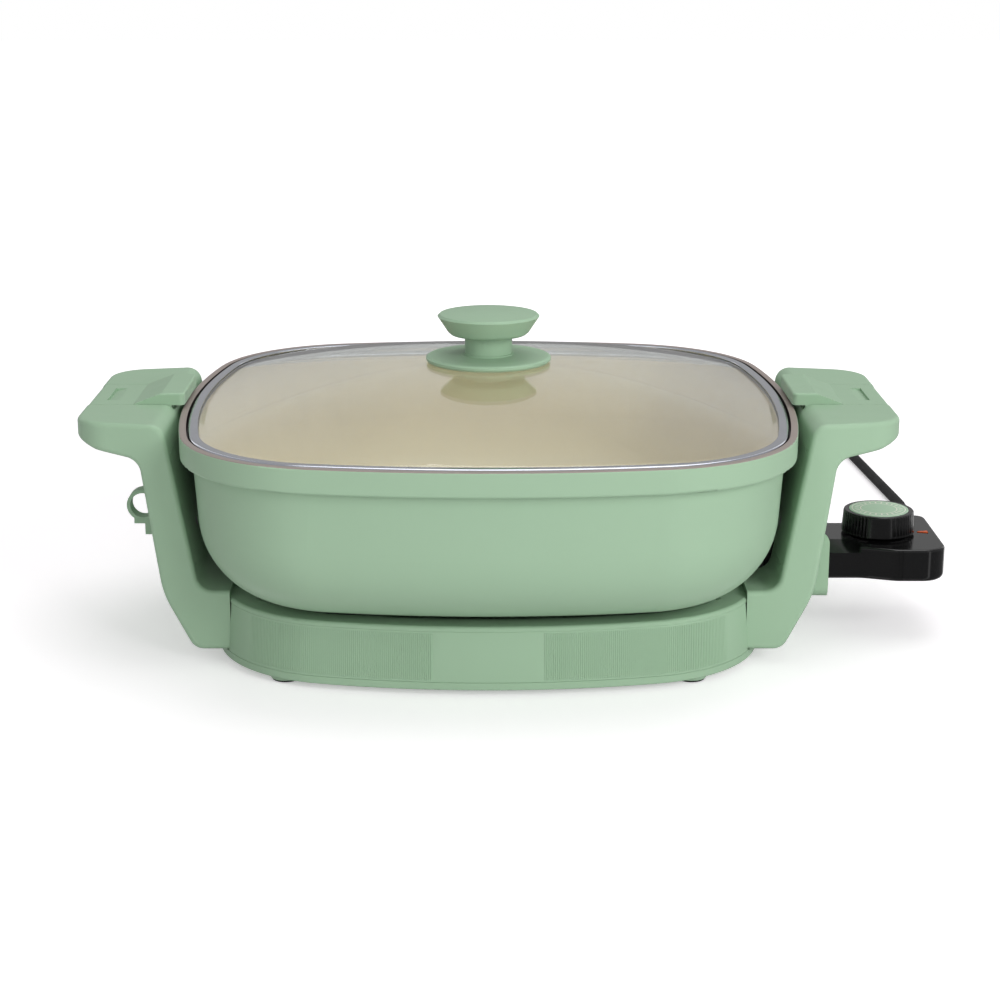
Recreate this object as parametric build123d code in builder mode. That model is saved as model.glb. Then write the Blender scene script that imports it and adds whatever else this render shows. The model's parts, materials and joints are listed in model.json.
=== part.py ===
"""Electric skillet: a cast pan with a glass lid, standing in a moulded base with two handles.

Millimetres. +X to the probe's side, +Y to the back, +Z up. The origin is on the table, under the
middle of the pan. Each section makes one piece, or a few pieces that fit each other.
"""

from build123d import *
import math
import os

os.makedirs("parts", exist_ok=True)

# ---------------------------------------------------------------- driving dimensions

# Clearances
seat_gap = 0.1  # between fixed pieces that nest in each other
slide_gap = 0.35  # beside a piece that slides
running_gap = 0.08  # radial, between a shaft or pin and its bore

# Pan: bowed square, seen from above
rim_half = 165.0
rim_bow_radius = 513.0
rim_corner_radius = 83.5
rim_top_z = 127.3
rim_band_height = 12.8
rim_overhang = 6.3
pan_bottom_z = 40.6
pan_draft = 3.8
pan_bottom_radius = 45.0
pan_wall = 4.2
pan_floor = 5.0

# Lid seat in the rim
lip_width = 3.8
lid_seat_depth = 5.0
lid_side_gap = 1.0
lid_band_width = 5.2
lid_band_height = 5.4
lid_band_sheet = 0.9
glass_thickness = 3.4
glass_bite = 3.0
dome_height = 22.5
dome_cap_half = 30.0

# Lid knob
knob_flange_radius = 34.0
knob_flange_thickness = 3.1
knob_stem_radius = 12.9
knob_stem_height = 11.8
knob_neck_radius = 22.0
knob_top_radius = 27.7
knob_head_height = 11.0
knob_crown = 1.6
knob_screw_radius = 2.4
knob_washer_radius = 9.0
knob_washer_thickness = 1.5

# Base
base_half_x = 148.0
base_half_y = 125.0
base_bow_radius = 382.0
base_corner_radius = 75.0
base_lean = 3.6
base_underside_z = 3.0
base_top_z = 36.2
base_seam_z = 33.8
cover_thickness = 2.0
cover_lip_width = 2.8
cover_lip_height = 4.0
fascia_thickness = 2.6
base_wall = 2.4
deck_land = 15.0
dish_slope = 15.0
dish_floor_z = 28.0
vent_length = 15.0
vent_width = 4.0
vent_inset_x = 32.0
vent_inset_y = 46.0

# Feet
foot_inset_x = 43.0
foot_inset_y = 28.0
foot_boss_radius = 9.0
foot_pad_radius = 7.5
foot_pad_sink = 1.2
foot_plug_inset = 1.5

# Posts that take the screws of the bottom cover
post_step_x = 14.0
post_step_y = 4.0
middle_post_x = 40.0
middle_post_inset = 16.0
base_screw_length = 11.0

# Pan supports on the deck
support_inset_x = 40.0  # from the heat shield's edge
support_inset_y = 20.0
support_post_radius = 9.0
support_pad_radius = 7.5
support_pad_height = 5.0
shield_inset_x = 50.0
shield_inset_y = 47.0
shield_hole_gap = 0.3
shield_thickness = 0.8
shield_corner = 20.0

# Arms and handles
arm_inset_y = 50.0  # inside the base's front and rear
arm_seat_step = 1.4  # the arm's seat behind the fascia's end
arm_screw_inset = 17.0
arm_screw_z = 16.0
arm_screw_rise = 13.0
arm_screw_length = 12.0
arm_foot_top_z = 39.8
arm_bottom_z = 7.6
arm_rim_gap = 3.1  # from the rim to the arm's inner top edge, as the X runs of arm and handle
arm_foot_shelf = 16.0  # from the seat out to the inner face
arm_outer_top_run = 13.2
arm_outer_top_drop = 19.3
arm_knee_depth = 19.2
arm_outer_knee_z = 38.0
arm_toe_depth = 3.5
arm_wall = 2.6
arm_edge = 2.6
arm_foot_bend = 9.0
arm_head_bend = 8.0
arm_armpit_bend = 9.0
arm_knee_bend = 50.0
arm_toe_bend = 8.0
handle_run = 47.9
handle_rise = 2.2  # above the rim
handle_nose_drop = 10.5
handle_belly_run = 35.9
handle_belly_drop = 14.9
handle_belly_bend = 14.0
handle_corner_inset = 8.5
handle_corner_radius = 22.0
handle_taper_run = 5.9
handle_taper_bend = 40.0
arm_cover_thickness = 2.2
arm_cover_inset = 8.0
arm_cover_bottom_z = 52.0
arm_cover_top_drop = 15.5
arm_cover_ledge = 5.0
arm_cover_corner = 3.0
cover_screw_length = 8.0
cover_screw_low = 16.0
cover_screw_high = 12.0
cover_screw_inset = 30.0
cover_screw_sink = 1.5
cover_screw_head = 1.2

# Latches
latch_half = 25.7
latch_end_gap = 0.4  # to the handle's end
latch_strip_thickness = 3.0
latch_ramp_run = 22.6
latch_block_run = 7.3
latch_nose_reach = 1.8  # over the rim
latch_block_height = 6.0
latch_nose_lift = 1.7  # above the rim
latch_step_run = 1.9
latch_travel = 8.0
latch_scoop_inset = 9.1
latch_scoop_half = 15.0
latch_scoop_depth = 1.4
latch_scoop_run = 6.5
latch_keel_length = 16.0
latch_keel_width = 10.0
latch_keel_run = 14.9
latch_corner = 3.0
latch_top_round = 1.2
retainer_length = 24.0
retainer_width = 22.0
retainer_thickness = 2.0
retainer_corner = 3.0

# Screws
screw_radius = 1.5
screw_head_radius = 2.9
screw_head_height = 1.8
screw_boss_radius = 4.2

# Heating element and its terminals
element_radius = 4.0
element_z = 39.0
element_inset = 83.0  # inside the rim
element_bend = 38.0
element_shoulder = 14.0
element_shoulder_bend = 26.0
element_end_bend = 12.0
ridge_width = 14.0
ridge_depth = 4.6
terminal_spacing = 36.0
terminal_block_inset = 29.5  # from the rim
terminal_block_length = 30.0
terminal_block_half = 29.0
terminal_block_bottom_z = 31.0
terminal_block_top_z = 49.0
cold_end_depth = 17.5
pin_radius = 2.4
pin_length = 33.0
bead_radius = 5.0
guard_wall = 1.2
guard_length = 15.0

# Probe window in the right arm, and its frame
window_half = 33.9
window_bottom_z = 22.9
window_top_z = 60.0
frame_wall = 2.5
frame_inner_run = 4.5  # from the arm's inner foot
frame_outer_run = 33.0
frame_corner = 6.0

# Probe
probe_bottom_z = 32.6
probe_top_z = 50.8
probe_split_z = 43.6
probe_shell = 2.0
probe_inner_run = -8.1  # from the arm's inner top edge
probe_length = 89.5
probe_neck_half = 30.0
probe_bulge_half = 36.0
probe_shoulder_inset = 45.5
probe_bulge_inset = 27.5
probe_swell_bend = 22.0
probe_corner_radius = 13.0
probe_back_corner_radius = 6.0
probe_under_round = 3.0
probe_top_round = 1.6
probe_deck_half = 14.0
probe_shoulder_drop = 3.2
probe_rib_count = 6
probe_rib_pitch = 2.0
probe_rib_depth = 0.6
probe_rib_inset = 35.0
probe_screw_inner = 13.0
probe_screw_outer = 11.5
probe_screw_side = 7.0
nose_tip_gap = 2.0  # to the terminal block
nose_half = 24.0
nose_bottom_z = 33.0
nose_top_z = 45.4
sensor_radius = 3.0
sensor_depth = 37.5  # into the terminal block
sleeve_wall = 0.9
sleeve_length = 22.0
nose_flange_run = 4.5
nose_flange_half = 25.0
nose_neck_half = 22.0
nose_neck_inset = 2.0
sensor_root_run = 8.0
frame_plate_thickness = 1.2
frame_plate_half = 9.0
frame_plate_past_dial = 11.0
stack_run = 10.0
stack_length = 12.0
stack_half = 6.0
blade_strip_half = 4.0
blade_strip_thickness = 0.4
blade_strip_gap = 0.8

# Temperature dial
dial_inset = 32.5  # from the probe's end
dial_foot_radius = 20.1
dial_top_radius = 19.2
dial_height = 12.2
dial_lift = 1.2
dial_cap_radius = 16.3
dial_cap_thickness = 1.4
dial_cap_proud = 0.3
dial_grip_count = 4
dial_grip_angle = -73.0
dial_grip_flutes = 8
dial_flute_pitch = 6.0
dial_flute_radius = 0.75
shaft_radius = 3.0
shaft_bottom_z = 39.5

# Pointer mark on the probe
pointer_inset = 6.6
pointer_length = 6.4
pointer_width = 3.6
pointer_thickness = 0.8

# Cord clip on the left arm
clip_radius = 8.8
clip_wall = 1.9
clip_length = 9.0
clip_run = 10.2  # past the arm's outer top edge
clip_z = 67.5
clip_block_bottom_z = 50.8
clip_block_top_z = 58.6
clip_block_run = 9.3
clip_tooth_height = 3.0
clip_tooth_half = 5.0

# Cord and plug
cord_radius = 3.25
relief_inset = 17.5  # from the probe's end
relief_z = 42.0
relief_length = 28.0
relief_root_radius = 5.6
relief_tip_radius = 4.3
relief_ring_count = 6
relief_ring_depth = 0.7
relief_collar_radius = 6.2
coil_shift_x = 132.0  # from the strain relief
coil_shift_y = 135.0  # from the rim
coil_outer_radius = 40.9
coil_turns = 1.25
plug_length = 34.0
plug_width = 26.0
plug_thickness = 16.0
plug_neck = 12.0
plug_run = 68.0  # from the coil's middle
blade_length = 16.0
blade_width = 6.35
blade_thickness = 1.5
blade_spacing = 12.7

# ---------------------------------------------------------------- derived values

rim_bottom_z = rim_top_z - rim_band_height
element_half = rim_half - element_inset
terminal_block_x = rim_half - terminal_block_inset
cold_end_x = terminal_block_x - cold_end_depth
pin_tip_x = cold_end_x + pin_length
nose_tip_x = terminal_block_x + nose_tip_gap
sensor_tip_x = terminal_block_x - sensor_depth
lid_inset = lip_width + lid_side_gap
lid_seat_z = rim_top_z - lid_seat_depth
glass_inset = lid_inset + lid_band_width - glass_bite
glass_top_z = lid_seat_z + lid_band_height - lid_band_sheet - seat_gap / 2
dome_half = rim_half - lid_inset - lid_band_width - seat_gap

plate_top_z = base_underside_z + cover_thickness
lip_top_z = base_underside_z + cover_lip_height
housing_inset = cover_lip_width + 2 * seat_gap
support_post_top_z = pan_bottom_z - support_pad_height


def base_line_x(y):
    """The base's foot line: its X at a place y that lies on a rounded corner. The corner's centre
    is where two circles meet, round the centres of the side's bow and of the front's bow."""
    side_x = base_half_x - base_bow_radius
    front_y = base_half_y - base_bow_radius
    apart = math.hypot(side_x, front_y)
    reach = base_bow_radius - base_corner_radius
    rise = math.sqrt(reach**2 - (apart / 2) ** 2)
    centre_x = side_x / 2 - rise * front_y / apart
    centre_y = front_y / 2 - rise * side_x / apart
    return centre_x + math.sqrt(base_corner_radius**2 - (y - centre_y) ** 2)


foot_x = base_half_x - foot_inset_x
foot_y = base_half_y - foot_inset_y
vent_x = base_half_x - vent_inset_x
vent_y = base_half_y - vent_inset_y
shield_half_x = base_half_x - shield_inset_x
shield_half_y = base_half_y - shield_inset_y
support_x = shield_half_x - support_inset_x
support_y = shield_half_y - support_inset_y
support_points = [(x, y) for x in (-support_x, support_x) for y in (-support_y, support_y)]

arm_half = base_half_y - arm_inset_y
arm_seat_x = base_line_x(arm_half) - arm_seat_step
arm_screw_y = arm_half - arm_screw_inset
arm_cover_half = arm_half - arm_cover_inset
handle_corner_half = arm_half - handle_corner_inset
arm_inner_top_x = rim_half + arm_rim_gap
arm_inner_foot_x = arm_seat_x + arm_foot_shelf
arm_outer_top_x = arm_inner_top_x + arm_outer_top_run
arm_outer_knee_x = arm_inner_foot_x + arm_knee_depth
arm_outer_foot_x = arm_inner_foot_x + arm_toe_depth
handle_end_x = arm_inner_top_x + handle_run
handle_belly_x = arm_inner_top_x + handle_belly_run
handle_taper_x = arm_inner_top_x + handle_taper_run
handle_top_z = rim_top_z + handle_rise
handle_nose_z = handle_top_z - handle_nose_drop
handle_belly_z = handle_top_z - handle_belly_drop
arm_outer_top_z = handle_top_z - arm_outer_top_drop
arm_cover_top_z = handle_top_z - arm_cover_top_drop

latch_outer_x = handle_end_x - latch_end_gap
latch_ramp_x = arm_inner_top_x + latch_ramp_run
latch_block_x = arm_inner_top_x + latch_block_run
latch_nose_x = rim_half - latch_nose_reach
latch_step_x = arm_inner_top_x + latch_step_run
latch_scoop_x = latch_outer_x - latch_scoop_inset
latch_keel_x = arm_inner_top_x + latch_keel_run
latch_block_top_z = handle_top_z + latch_block_height
latch_nose_bottom_z = rim_top_z + latch_nose_lift

frame_inner_x = arm_inner_foot_x + frame_inner_run
frame_outer_x = arm_inner_foot_x + frame_outer_run
probe_inner_x = arm_inner_top_x + probe_inner_run
probe_outer_x = probe_inner_x + probe_length
probe_shoulder_x = probe_outer_x - probe_shoulder_inset
probe_bulge_x = probe_outer_x - probe_bulge_inset
probe_rib_x = probe_outer_x - probe_rib_inset
nose_flange_x = probe_inner_x + nose_flange_run
sensor_root_x = probe_inner_x + sensor_root_run
stack_x = sensor_root_x + stack_run
dial_x = probe_outer_x - dial_inset
frame_plate_end_x = dial_x + frame_plate_past_dial
pointer_x = probe_outer_x - pointer_inset
clip_x = arm_outer_top_x + clip_run
clip_block_x = arm_outer_top_x + clip_block_run
relief_x = probe_outer_x - relief_inset
coil_x = relief_x - coil_shift_x
coil_y = rim_half + coil_shift_y
plug_x = coil_x + plug_run

arm_slope = (arm_inner_top_x - arm_inner_foot_x) / (handle_top_z - arm_foot_top_z)
outer_slope = (arm_outer_top_x - arm_outer_knee_x) / (arm_outer_top_z - arm_outer_knee_z)
latch_floor_z = handle_top_z - latch_strip_thickness
latch_wall_bottom_z = latch_floor_z - arm_wall
keel_slot_length = latch_keel_length + latch_travel + 2 * slide_gap
terminal_half = terminal_spacing / 2
guard_gap = 0.6
screw_hole_radius = screw_radius + seat_gap / 2

dial_bottom_z = probe_top_z + dial_lift
coil_inner_radius = coil_outer_radius - 2 * cord_radius * coil_turns


def glass_z(half):
    """The top of the glass where its outline is this far from the middle: a parabola."""
    return glass_top_z + dome_height * (1 - (half / dome_half) ** 2)


flange_bottom_z = glass_z(dome_cap_half)
stem_bottom_z = flange_bottom_z + knob_flange_thickness
head_bottom_z = stem_bottom_z + knob_stem_height


def base_inset(z):
    """How far the leaning base wall stands inside its foot line at height z."""
    return (z - base_underside_z) * math.tan(math.radians(base_lean))


def arm_inner_x(z):
    """The arm's inner face at height z."""
    return arm_inner_foot_x + (z - arm_foot_top_z) * arm_slope


def arm_outer_x(z):
    """The arm's outer face at height z, above its knee."""
    return arm_outer_knee_x + (z - arm_outer_knee_z) * outer_slope


# ---------------------------------------------------------------- shared outlines


def draw_bowed_square(half_x, half_y, bow_radius, corner_radius):
    """Draws in the current sketch: four shallow arcs, as the overlap of four discs, rounded where
    they meet."""
    with Locations((0, half_y - bow_radius)):
        Circle(bow_radius)
    with Locations((0, bow_radius - half_y)):
        Circle(bow_radius, mode=Mode.INTERSECT)
    with Locations((half_x - bow_radius, 0)):
        Circle(bow_radius, mode=Mode.INTERSECT)
    with Locations((bow_radius - half_x, 0)):
        Circle(bow_radius, mode=Mode.INTERSECT)
    fillet(vertices(), corner_radius)


def draw_rim(inset):
    """The pan's rim line, moved inwards."""
    draw_bowed_square(
        rim_half - inset, rim_half - inset, rim_bow_radius - inset, rim_corner_radius - inset
    )


def draw_base(inset):
    """The base's foot line, moved inwards."""
    draw_bowed_square(
        base_half_x - inset, base_half_y - inset, base_bow_radius - inset, base_corner_radius - inset
    )


def draw_arm_profile():
    """The right arm and handle from the front: foot, upright and handle in one line."""
    with BuildLine() as outline:
        FilletPolyline(
            (arm_seat_x, arm_foot_top_z),
            (arm_inner_foot_x, arm_foot_top_z),
            (arm_inner_top_x, handle_top_z),
            (handle_end_x, handle_top_z),
            (handle_end_x, handle_nose_z),
            (handle_belly_x, handle_belly_z),
            (arm_outer_top_x, arm_outer_top_z),
            (arm_outer_knee_x, arm_outer_knee_z),
            (arm_outer_foot_x, arm_bottom_z),
            (arm_seat_x, arm_bottom_z),
            radius=[
                0,
                arm_foot_bend,
                arm_head_bend,
                0,
                0,
                handle_belly_bend,
                arm_armpit_bend,
                arm_knee_bend,
                arm_toe_bend,
                0,
            ],
            close=True,
        )
    make_face(outline.edges())


def draw_handle_plan():
    """The handle from above, carried on inwards over the arm."""
    with BuildLine() as outline:
        FilletPolyline(
            (arm_seat_x - 1, -arm_half),
            (handle_taper_x, -arm_half),
            (handle_end_x, -handle_corner_half),
            (handle_end_x, handle_corner_half),
            (handle_taper_x, arm_half),
            (arm_seat_x - 1, arm_half),
            radius=[
                0,
                handle_taper_bend,
                handle_corner_radius,
                handle_corner_radius,
                handle_taper_bend,
                0,
            ],
            close=True,
        )
    make_face(outline.edges())


def draw_probe_plan():
    """The probe's case from above: a straight neck that swells into the bulge under the dial."""
    with BuildLine() as outline:
        FilletPolyline(
            (probe_inner_x, -probe_neck_half),
            (probe_shoulder_x, -probe_neck_half),
            (probe_bulge_x, -probe_bulge_half),
            (probe_outer_x, -probe_bulge_half),
            (probe_outer_x, probe_bulge_half),
            (probe_bulge_x, probe_bulge_half),
            (probe_shoulder_x, probe_neck_half),
            (probe_inner_x, probe_neck_half),
            radius=[
                0,
                probe_swell_bend,
                probe_swell_bend,
                probe_corner_radius,
                probe_back_corner_radius,
                probe_swell_bend,
                probe_swell_bend,
                0,
            ],
            close=True,
        )
    make_face(outline.edges())


# ---------------------------------------------------------------- pan

element_line = [
    (cold_end_x, -terminal_half),
    (element_half + element_shoulder, -terminal_half),
    (element_half, -element_half),
    (-element_half, -element_half),
    (-element_half, element_half),
    (element_half, element_half),
    (element_half + element_shoulder, terminal_half),
    (cold_end_x, terminal_half),
]
element_bends = [element_end_bend, element_shoulder_bend, element_bend]
element_bends += element_bends[::-1]

with BuildLine(Plane.XY.offset(element_z)) as element_path:
    FilletPolyline(*element_line, radius=element_bends)

with BuildLine() as ridge_path:
    FilletPolyline(*element_line, radius=element_bends)

with BuildPart() as pan_inside:
    with BuildSketch(Plane.XY.offset(rim_bottom_z)):
        draw_rim(rim_overhang + pan_wall)
    extrude(amount=pan_bottom_z + pan_floor - rim_bottom_z, taper=pan_draft)
    fillet(pan_inside.faces().sort_by(Axis.Z)[0].edges(), pan_bottom_radius - pan_wall)
    with BuildSketch(Plane.XY.offset(rim_bottom_z)):
        draw_rim(rim_overhang + pan_wall)
    extrude(amount=rim_band_height)

with BuildPart() as pan:
    with BuildSketch(Plane.XY.offset(rim_bottom_z)):
        draw_rim(rim_overhang)
    extrude(amount=pan_bottom_z - rim_bottom_z, taper=pan_draft)
    fillet(pan.faces().sort_by(Axis.Z)[0].edges(), pan_bottom_radius)
    with BuildSketch(Plane.XY.offset(rim_bottom_z)):
        draw_rim(0)
    extrude(amount=rim_band_height)
    fillet(pan.edges().group_by(Axis.Z)[-1], 0.9)
    band_foot = pan.faces().filter_by(Axis.Z).group_by(Axis.Z)[-2].sort_by(SortBy.AREA)[-1]
    fillet(band_foot.outer_wire().edges(), 1.6)
    # Ridge that the heating element is cast into, sensor boss and terminal block
    with BuildSketch(Plane.XY.offset(pan_bottom_z - ridge_depth)):
        trace(ridge_path.line, line_width=ridge_width)
    extrude(amount=ridge_depth + pan_floor / 2)
    with Locations((terminal_block_x, 0, terminal_block_bottom_z)):
        Box(
            terminal_block_length,
            2 * terminal_block_half,
            terminal_block_top_z - terminal_block_bottom_z,
            align=(Align.MAX, Align.CENTER, Align.MIN),
        )
    with Locations((terminal_block_x, 0, pan_bottom_z - ridge_depth)):
        Box(
            sensor_depth + ridge_width / 2,
            ridge_width,
            ridge_depth + pan_floor / 2,
            align=(Align.MAX, Align.CENTER, Align.MIN),
        )
    add(pan_inside.part, mode=Mode.SUBTRACT)
    # Seat of the lid
    with BuildSketch(Plane.XY.offset(lid_seat_z)):
        draw_rim(lip_width)
    extrude(amount=lid_seat_depth, mode=Mode.SUBTRACT)
    # Bores: element, cold ends in their beads, sensor
    with BuildSketch(Plane.YZ.offset(cold_end_x)):
        with Locations((-terminal_half, element_z)):
            Circle(element_radius + seat_gap / 2)
    sweep(path=element_path.line, mode=Mode.SUBTRACT)
    with Locations(
        Plane((cold_end_x, -terminal_half, element_z), z_dir=(1, 0, 0)),
        Plane((cold_end_x, terminal_half, element_z), z_dir=(1, 0, 0)),
    ):
        Cylinder(
            bead_radius + seat_gap / 2,
            terminal_block_x - cold_end_x,
            align=(Align.CENTER, Align.CENTER, Align.MIN),
            mode=Mode.SUBTRACT,
        )
    with Locations(Plane((terminal_block_x, 0, element_z), z_dir=(-1, 0, 0))):
        Cylinder(
            sensor_radius + running_gap,
            sensor_depth + sensor_radius,
            align=(Align.CENTER, Align.CENTER, Align.MIN),
            mode=Mode.SUBTRACT,
        )
pan.part.label = "pan"
export_step(pan.part, "parts/pan.step")

# Tubular element, cast into the ridge
with BuildPart() as heating_element:
    with BuildSketch(Plane.YZ.offset(cold_end_x)):
        with Locations((-terminal_half, element_z)):
            Circle(element_radius)
    sweep(path=element_path.line)
heating_element.part.label = "heating_element"
export_step(heating_element.part, "parts/heating_element.step")

# Terminal pins and the ceramic beads that hold them in the block
terminal_planes = [
    Plane((cold_end_x, side * terminal_half, element_z), z_dir=(1, 0, 0)) for side in (-1, 1)
]

with BuildPart() as terminal_pins:
    with Locations(*terminal_planes):
        Cylinder(pin_radius, pin_tip_x - cold_end_x, align=(Align.CENTER, Align.CENTER, Align.MIN))
    chamfer(terminal_pins.faces().sort_by(Axis.X)[-2:].edges(), 0.8)
terminal_pins.part.label = "terminal_pins"
export_step(terminal_pins.part, "parts/terminal_pins.step")

with BuildPart() as terminal_beads:
    with Locations(*terminal_planes):
        Cylinder(
            bead_radius, terminal_block_x - cold_end_x, align=(Align.CENTER, Align.CENTER, Align.MIN)
        )
        Cylinder(
            pin_radius + seat_gap / 2,
            terminal_block_x - cold_end_x,
            align=(Align.CENTER, Align.CENTER, Align.MIN),
            mode=Mode.SUBTRACT,
        )
terminal_beads.part.label = "terminal_beads"
export_step(terminal_beads.part, "parts/terminal_beads.step")

# Sheet steel guard round the pins; the probe's nose slides into it
guard_inner_half = nose_half + guard_gap
guard_height = nose_top_z - nose_bottom_z + 2 * guard_gap
with BuildPart() as terminal_guard:
    with BuildSketch(Plane.YZ.offset(terminal_block_x)):
        with Locations((0, (nose_top_z + nose_bottom_z) / 2)):
            RectangleRounded(
                2 * (guard_inner_half + guard_wall), guard_height + 2 * guard_wall, 2 + guard_wall
            )
            RectangleRounded(2 * guard_inner_half, guard_height, 2, mode=Mode.SUBTRACT)
    extrude(amount=guard_length)
terminal_guard.part.label = "terminal_guard"
export_step(terminal_guard.part, "parts/terminal_guard.step")

# ---------------------------------------------------------------- lid

# Steel band, folded over the edge of the glass
with BuildPart() as lid_band:
    with BuildSketch(Plane.XY.offset(lid_seat_z)):
        draw_rim(lid_inset)
    extrude(amount=lid_band_height)
    fillet(lid_band.edges().group_by(Axis.Z)[-1], 1.6)
    with BuildSketch(Plane.XY.offset(lid_seat_z)):
        draw_rim(lid_inset + lid_band_width)
    extrude(amount=lid_band_height, mode=Mode.SUBTRACT)
    with BuildSketch(Plane.XY.offset(glass_top_z - glass_thickness - seat_gap / 2)):
        draw_rim(glass_inset)
    extrude(amount=glass_thickness + seat_gap, mode=Mode.SUBTRACT)
lid_band.part.label = "lid_band"
export_step(lid_band.part, "parts/lid_band.step")


def draw_dome_level(half):
    """One level of the dome: the rim's outline at the edge, rounder towards the middle."""
    roundness = 1 - (half / dome_half) * (1 - (rim_corner_radius - glass_inset) / dome_half)
    draw_bowed_square(half, half, rim_bow_radius * half / rim_half, half * roundness)


dome_levels = [dome_half, 0.84 * dome_half, 0.62 * dome_half, 0.40 * dome_half, dome_cap_half]

# Glass: a flat edge held by the band, rising into a pillow-shaped dome
with BuildPart() as lid_glass:
    for half in dome_levels:
        with BuildSketch(Plane.XY.offset(glass_z(half))):
            draw_dome_level(half)
    loft()
    with BuildSketch(Plane.XY.offset(glass_top_z - glass_thickness)):
        draw_rim(glass_inset + seat_gap)
    extrude(amount=glass_thickness)
    for half in dome_levels:
        with BuildSketch(Plane.XY.offset(glass_z(half) - glass_thickness)):
            draw_dome_level(half)
    loft(mode=Mode.SUBTRACT)
    Cylinder(knob_screw_radius + seat_gap, 2 * flange_bottom_z, mode=Mode.SUBTRACT)
lid_glass.part.label = "lid_glass"
export_step(lid_glass.part, "parts/lid_glass.step")

# Knob: flange and stem in one piece, head screwed on over it
knob_screw_top_z = head_bottom_z + knob_head_height / 2
with BuildPart() as knob_flange:
    with BuildSketch(Plane.XZ):
        with BuildLine():
            Polyline(
                (0, flange_bottom_z),
                (knob_flange_radius - 1.0, flange_bottom_z),
                (knob_flange_radius, flange_bottom_z + 1.0),
                (knob_flange_radius, stem_bottom_z - 0.9),
                (knob_flange_radius - 1.2, stem_bottom_z - 0.2),
                (knob_stem_radius + 0.9, stem_bottom_z + 0.6),
                (knob_stem_radius + 0.9, stem_bottom_z + 1.4),
                (knob_stem_radius, stem_bottom_z + 1.4),
                (knob_stem_radius, head_bottom_z),
                (0, head_bottom_z),
                close=True,
            )
        make_face()
    revolve(axis=Axis.Z)
    Cylinder(knob_screw_radius + seat_gap / 2, 2 * head_bottom_z, mode=Mode.SUBTRACT)
knob_flange.part.label = "knob_flange"
export_step(knob_flange.part, "parts/knob_flange.step")

crown_half = knob_top_radius - 1.2
crown_radius = (crown_half**2 + knob_crown**2) / (2 * knob_crown)
crown_angle = math.asin(crown_half / crown_radius)
crown_centre_z = head_bottom_z + knob_head_height + knob_crown - crown_radius

with BuildPart() as knob_head:
    with BuildSketch(Plane.XZ):
        with BuildLine() as head_line:
            head_rise = Polyline(
                (0, head_bottom_z),
                (knob_neck_radius - 1.5, head_bottom_z),
                (knob_neck_radius, head_bottom_z + 1.2),
                (knob_top_radius, head_bottom_z + knob_head_height - 1.2),
                (knob_top_radius - 1.2, head_bottom_z + knob_head_height),
            )
            crown = ThreePointArc(
                head_rise @ 1,
                (
                    crown_radius * math.sin(crown_angle / 2),
                    crown_centre_z + crown_radius * math.cos(crown_angle / 2),
                ),
                (0, crown_centre_z + crown_radius),
            )
            Line(crown @ 1, head_rise @ 0)
        make_face()
    revolve(axis=Axis.Z)
    with Locations((0, 0, head_bottom_z)):
        Cylinder(
            knob_screw_radius + seat_gap / 2,
            knob_screw_top_z - head_bottom_z + seat_gap,
            align=(Align.CENTER, Align.CENTER, Align.MIN),
            mode=Mode.SUBTRACT,
        )
knob_head.part.label = "knob_head"
export_step(knob_head.part, "parts/knob_head.step")

# Washer and screw under the glass
washer_top_z = flange_bottom_z - glass_thickness
with BuildPart() as knob_washer:
    with Locations((0, 0, washer_top_z)):
        Cylinder(
            knob_washer_radius,
            knob_washer_thickness,
            align=(Align.CENTER, Align.CENTER, Align.MAX),
        )
        Cylinder(knob_screw_radius + seat_gap / 2, 3 * knob_washer_thickness, mode=Mode.SUBTRACT)
knob_washer.part.label = "knob_washer"
export_step(knob_washer.part, "parts/knob_washer.step")

with BuildPart() as knob_screw:
    with Locations((0, 0, washer_top_z - knob_washer_thickness)):
        Cylinder(
            knob_screw_radius,
            knob_screw_top_z - washer_top_z + knob_washer_thickness,
            align=(Align.CENTER, Align.CENTER, Align.MIN),
        )
        Cylinder(
            2 * knob_screw_radius,
            knob_screw_radius,
            align=(Align.CENTER, Align.CENTER, Align.MAX),
        )
    fillet(knob_screw.edges().group_by(Axis.Z)[0], 1.2)
knob_screw.part.label = "knob_screw"
export_step(knob_screw.part, "parts/knob_screw.step")

# ---------------------------------------------------------------- base

arm_screw_points = [
    (y, z) for y in (-arm_screw_y, arm_screw_y) for z in (arm_screw_z, arm_screw_z + arm_screw_rise)
]
arm_wall_inner_x = arm_seat_x - seat_gap - base_wall
arm_screw_planes = [
    Plane((side * arm_wall_inner_x, y, z), z_dir=(side, 0, 0))
    for side in (-1, 1)
    for y, z in arm_screw_points
]

# Room inside the base: everything that the deck, the arm seats and the posts leave free
post_points = [
    (x_side * (foot_x - post_step_x), y_side * (foot_y - post_step_y))
    for x_side in (-1, 1)
    for y_side in (-1, 1)
]
post_points += [
    (x, y_side * (base_half_y - middle_post_inset))
    for x in (-middle_post_x, middle_post_x)
    for y_side in (-1, 1)
]
channel_inner_x = terminal_block_x - terminal_block_length - screw_boss_radius

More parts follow.
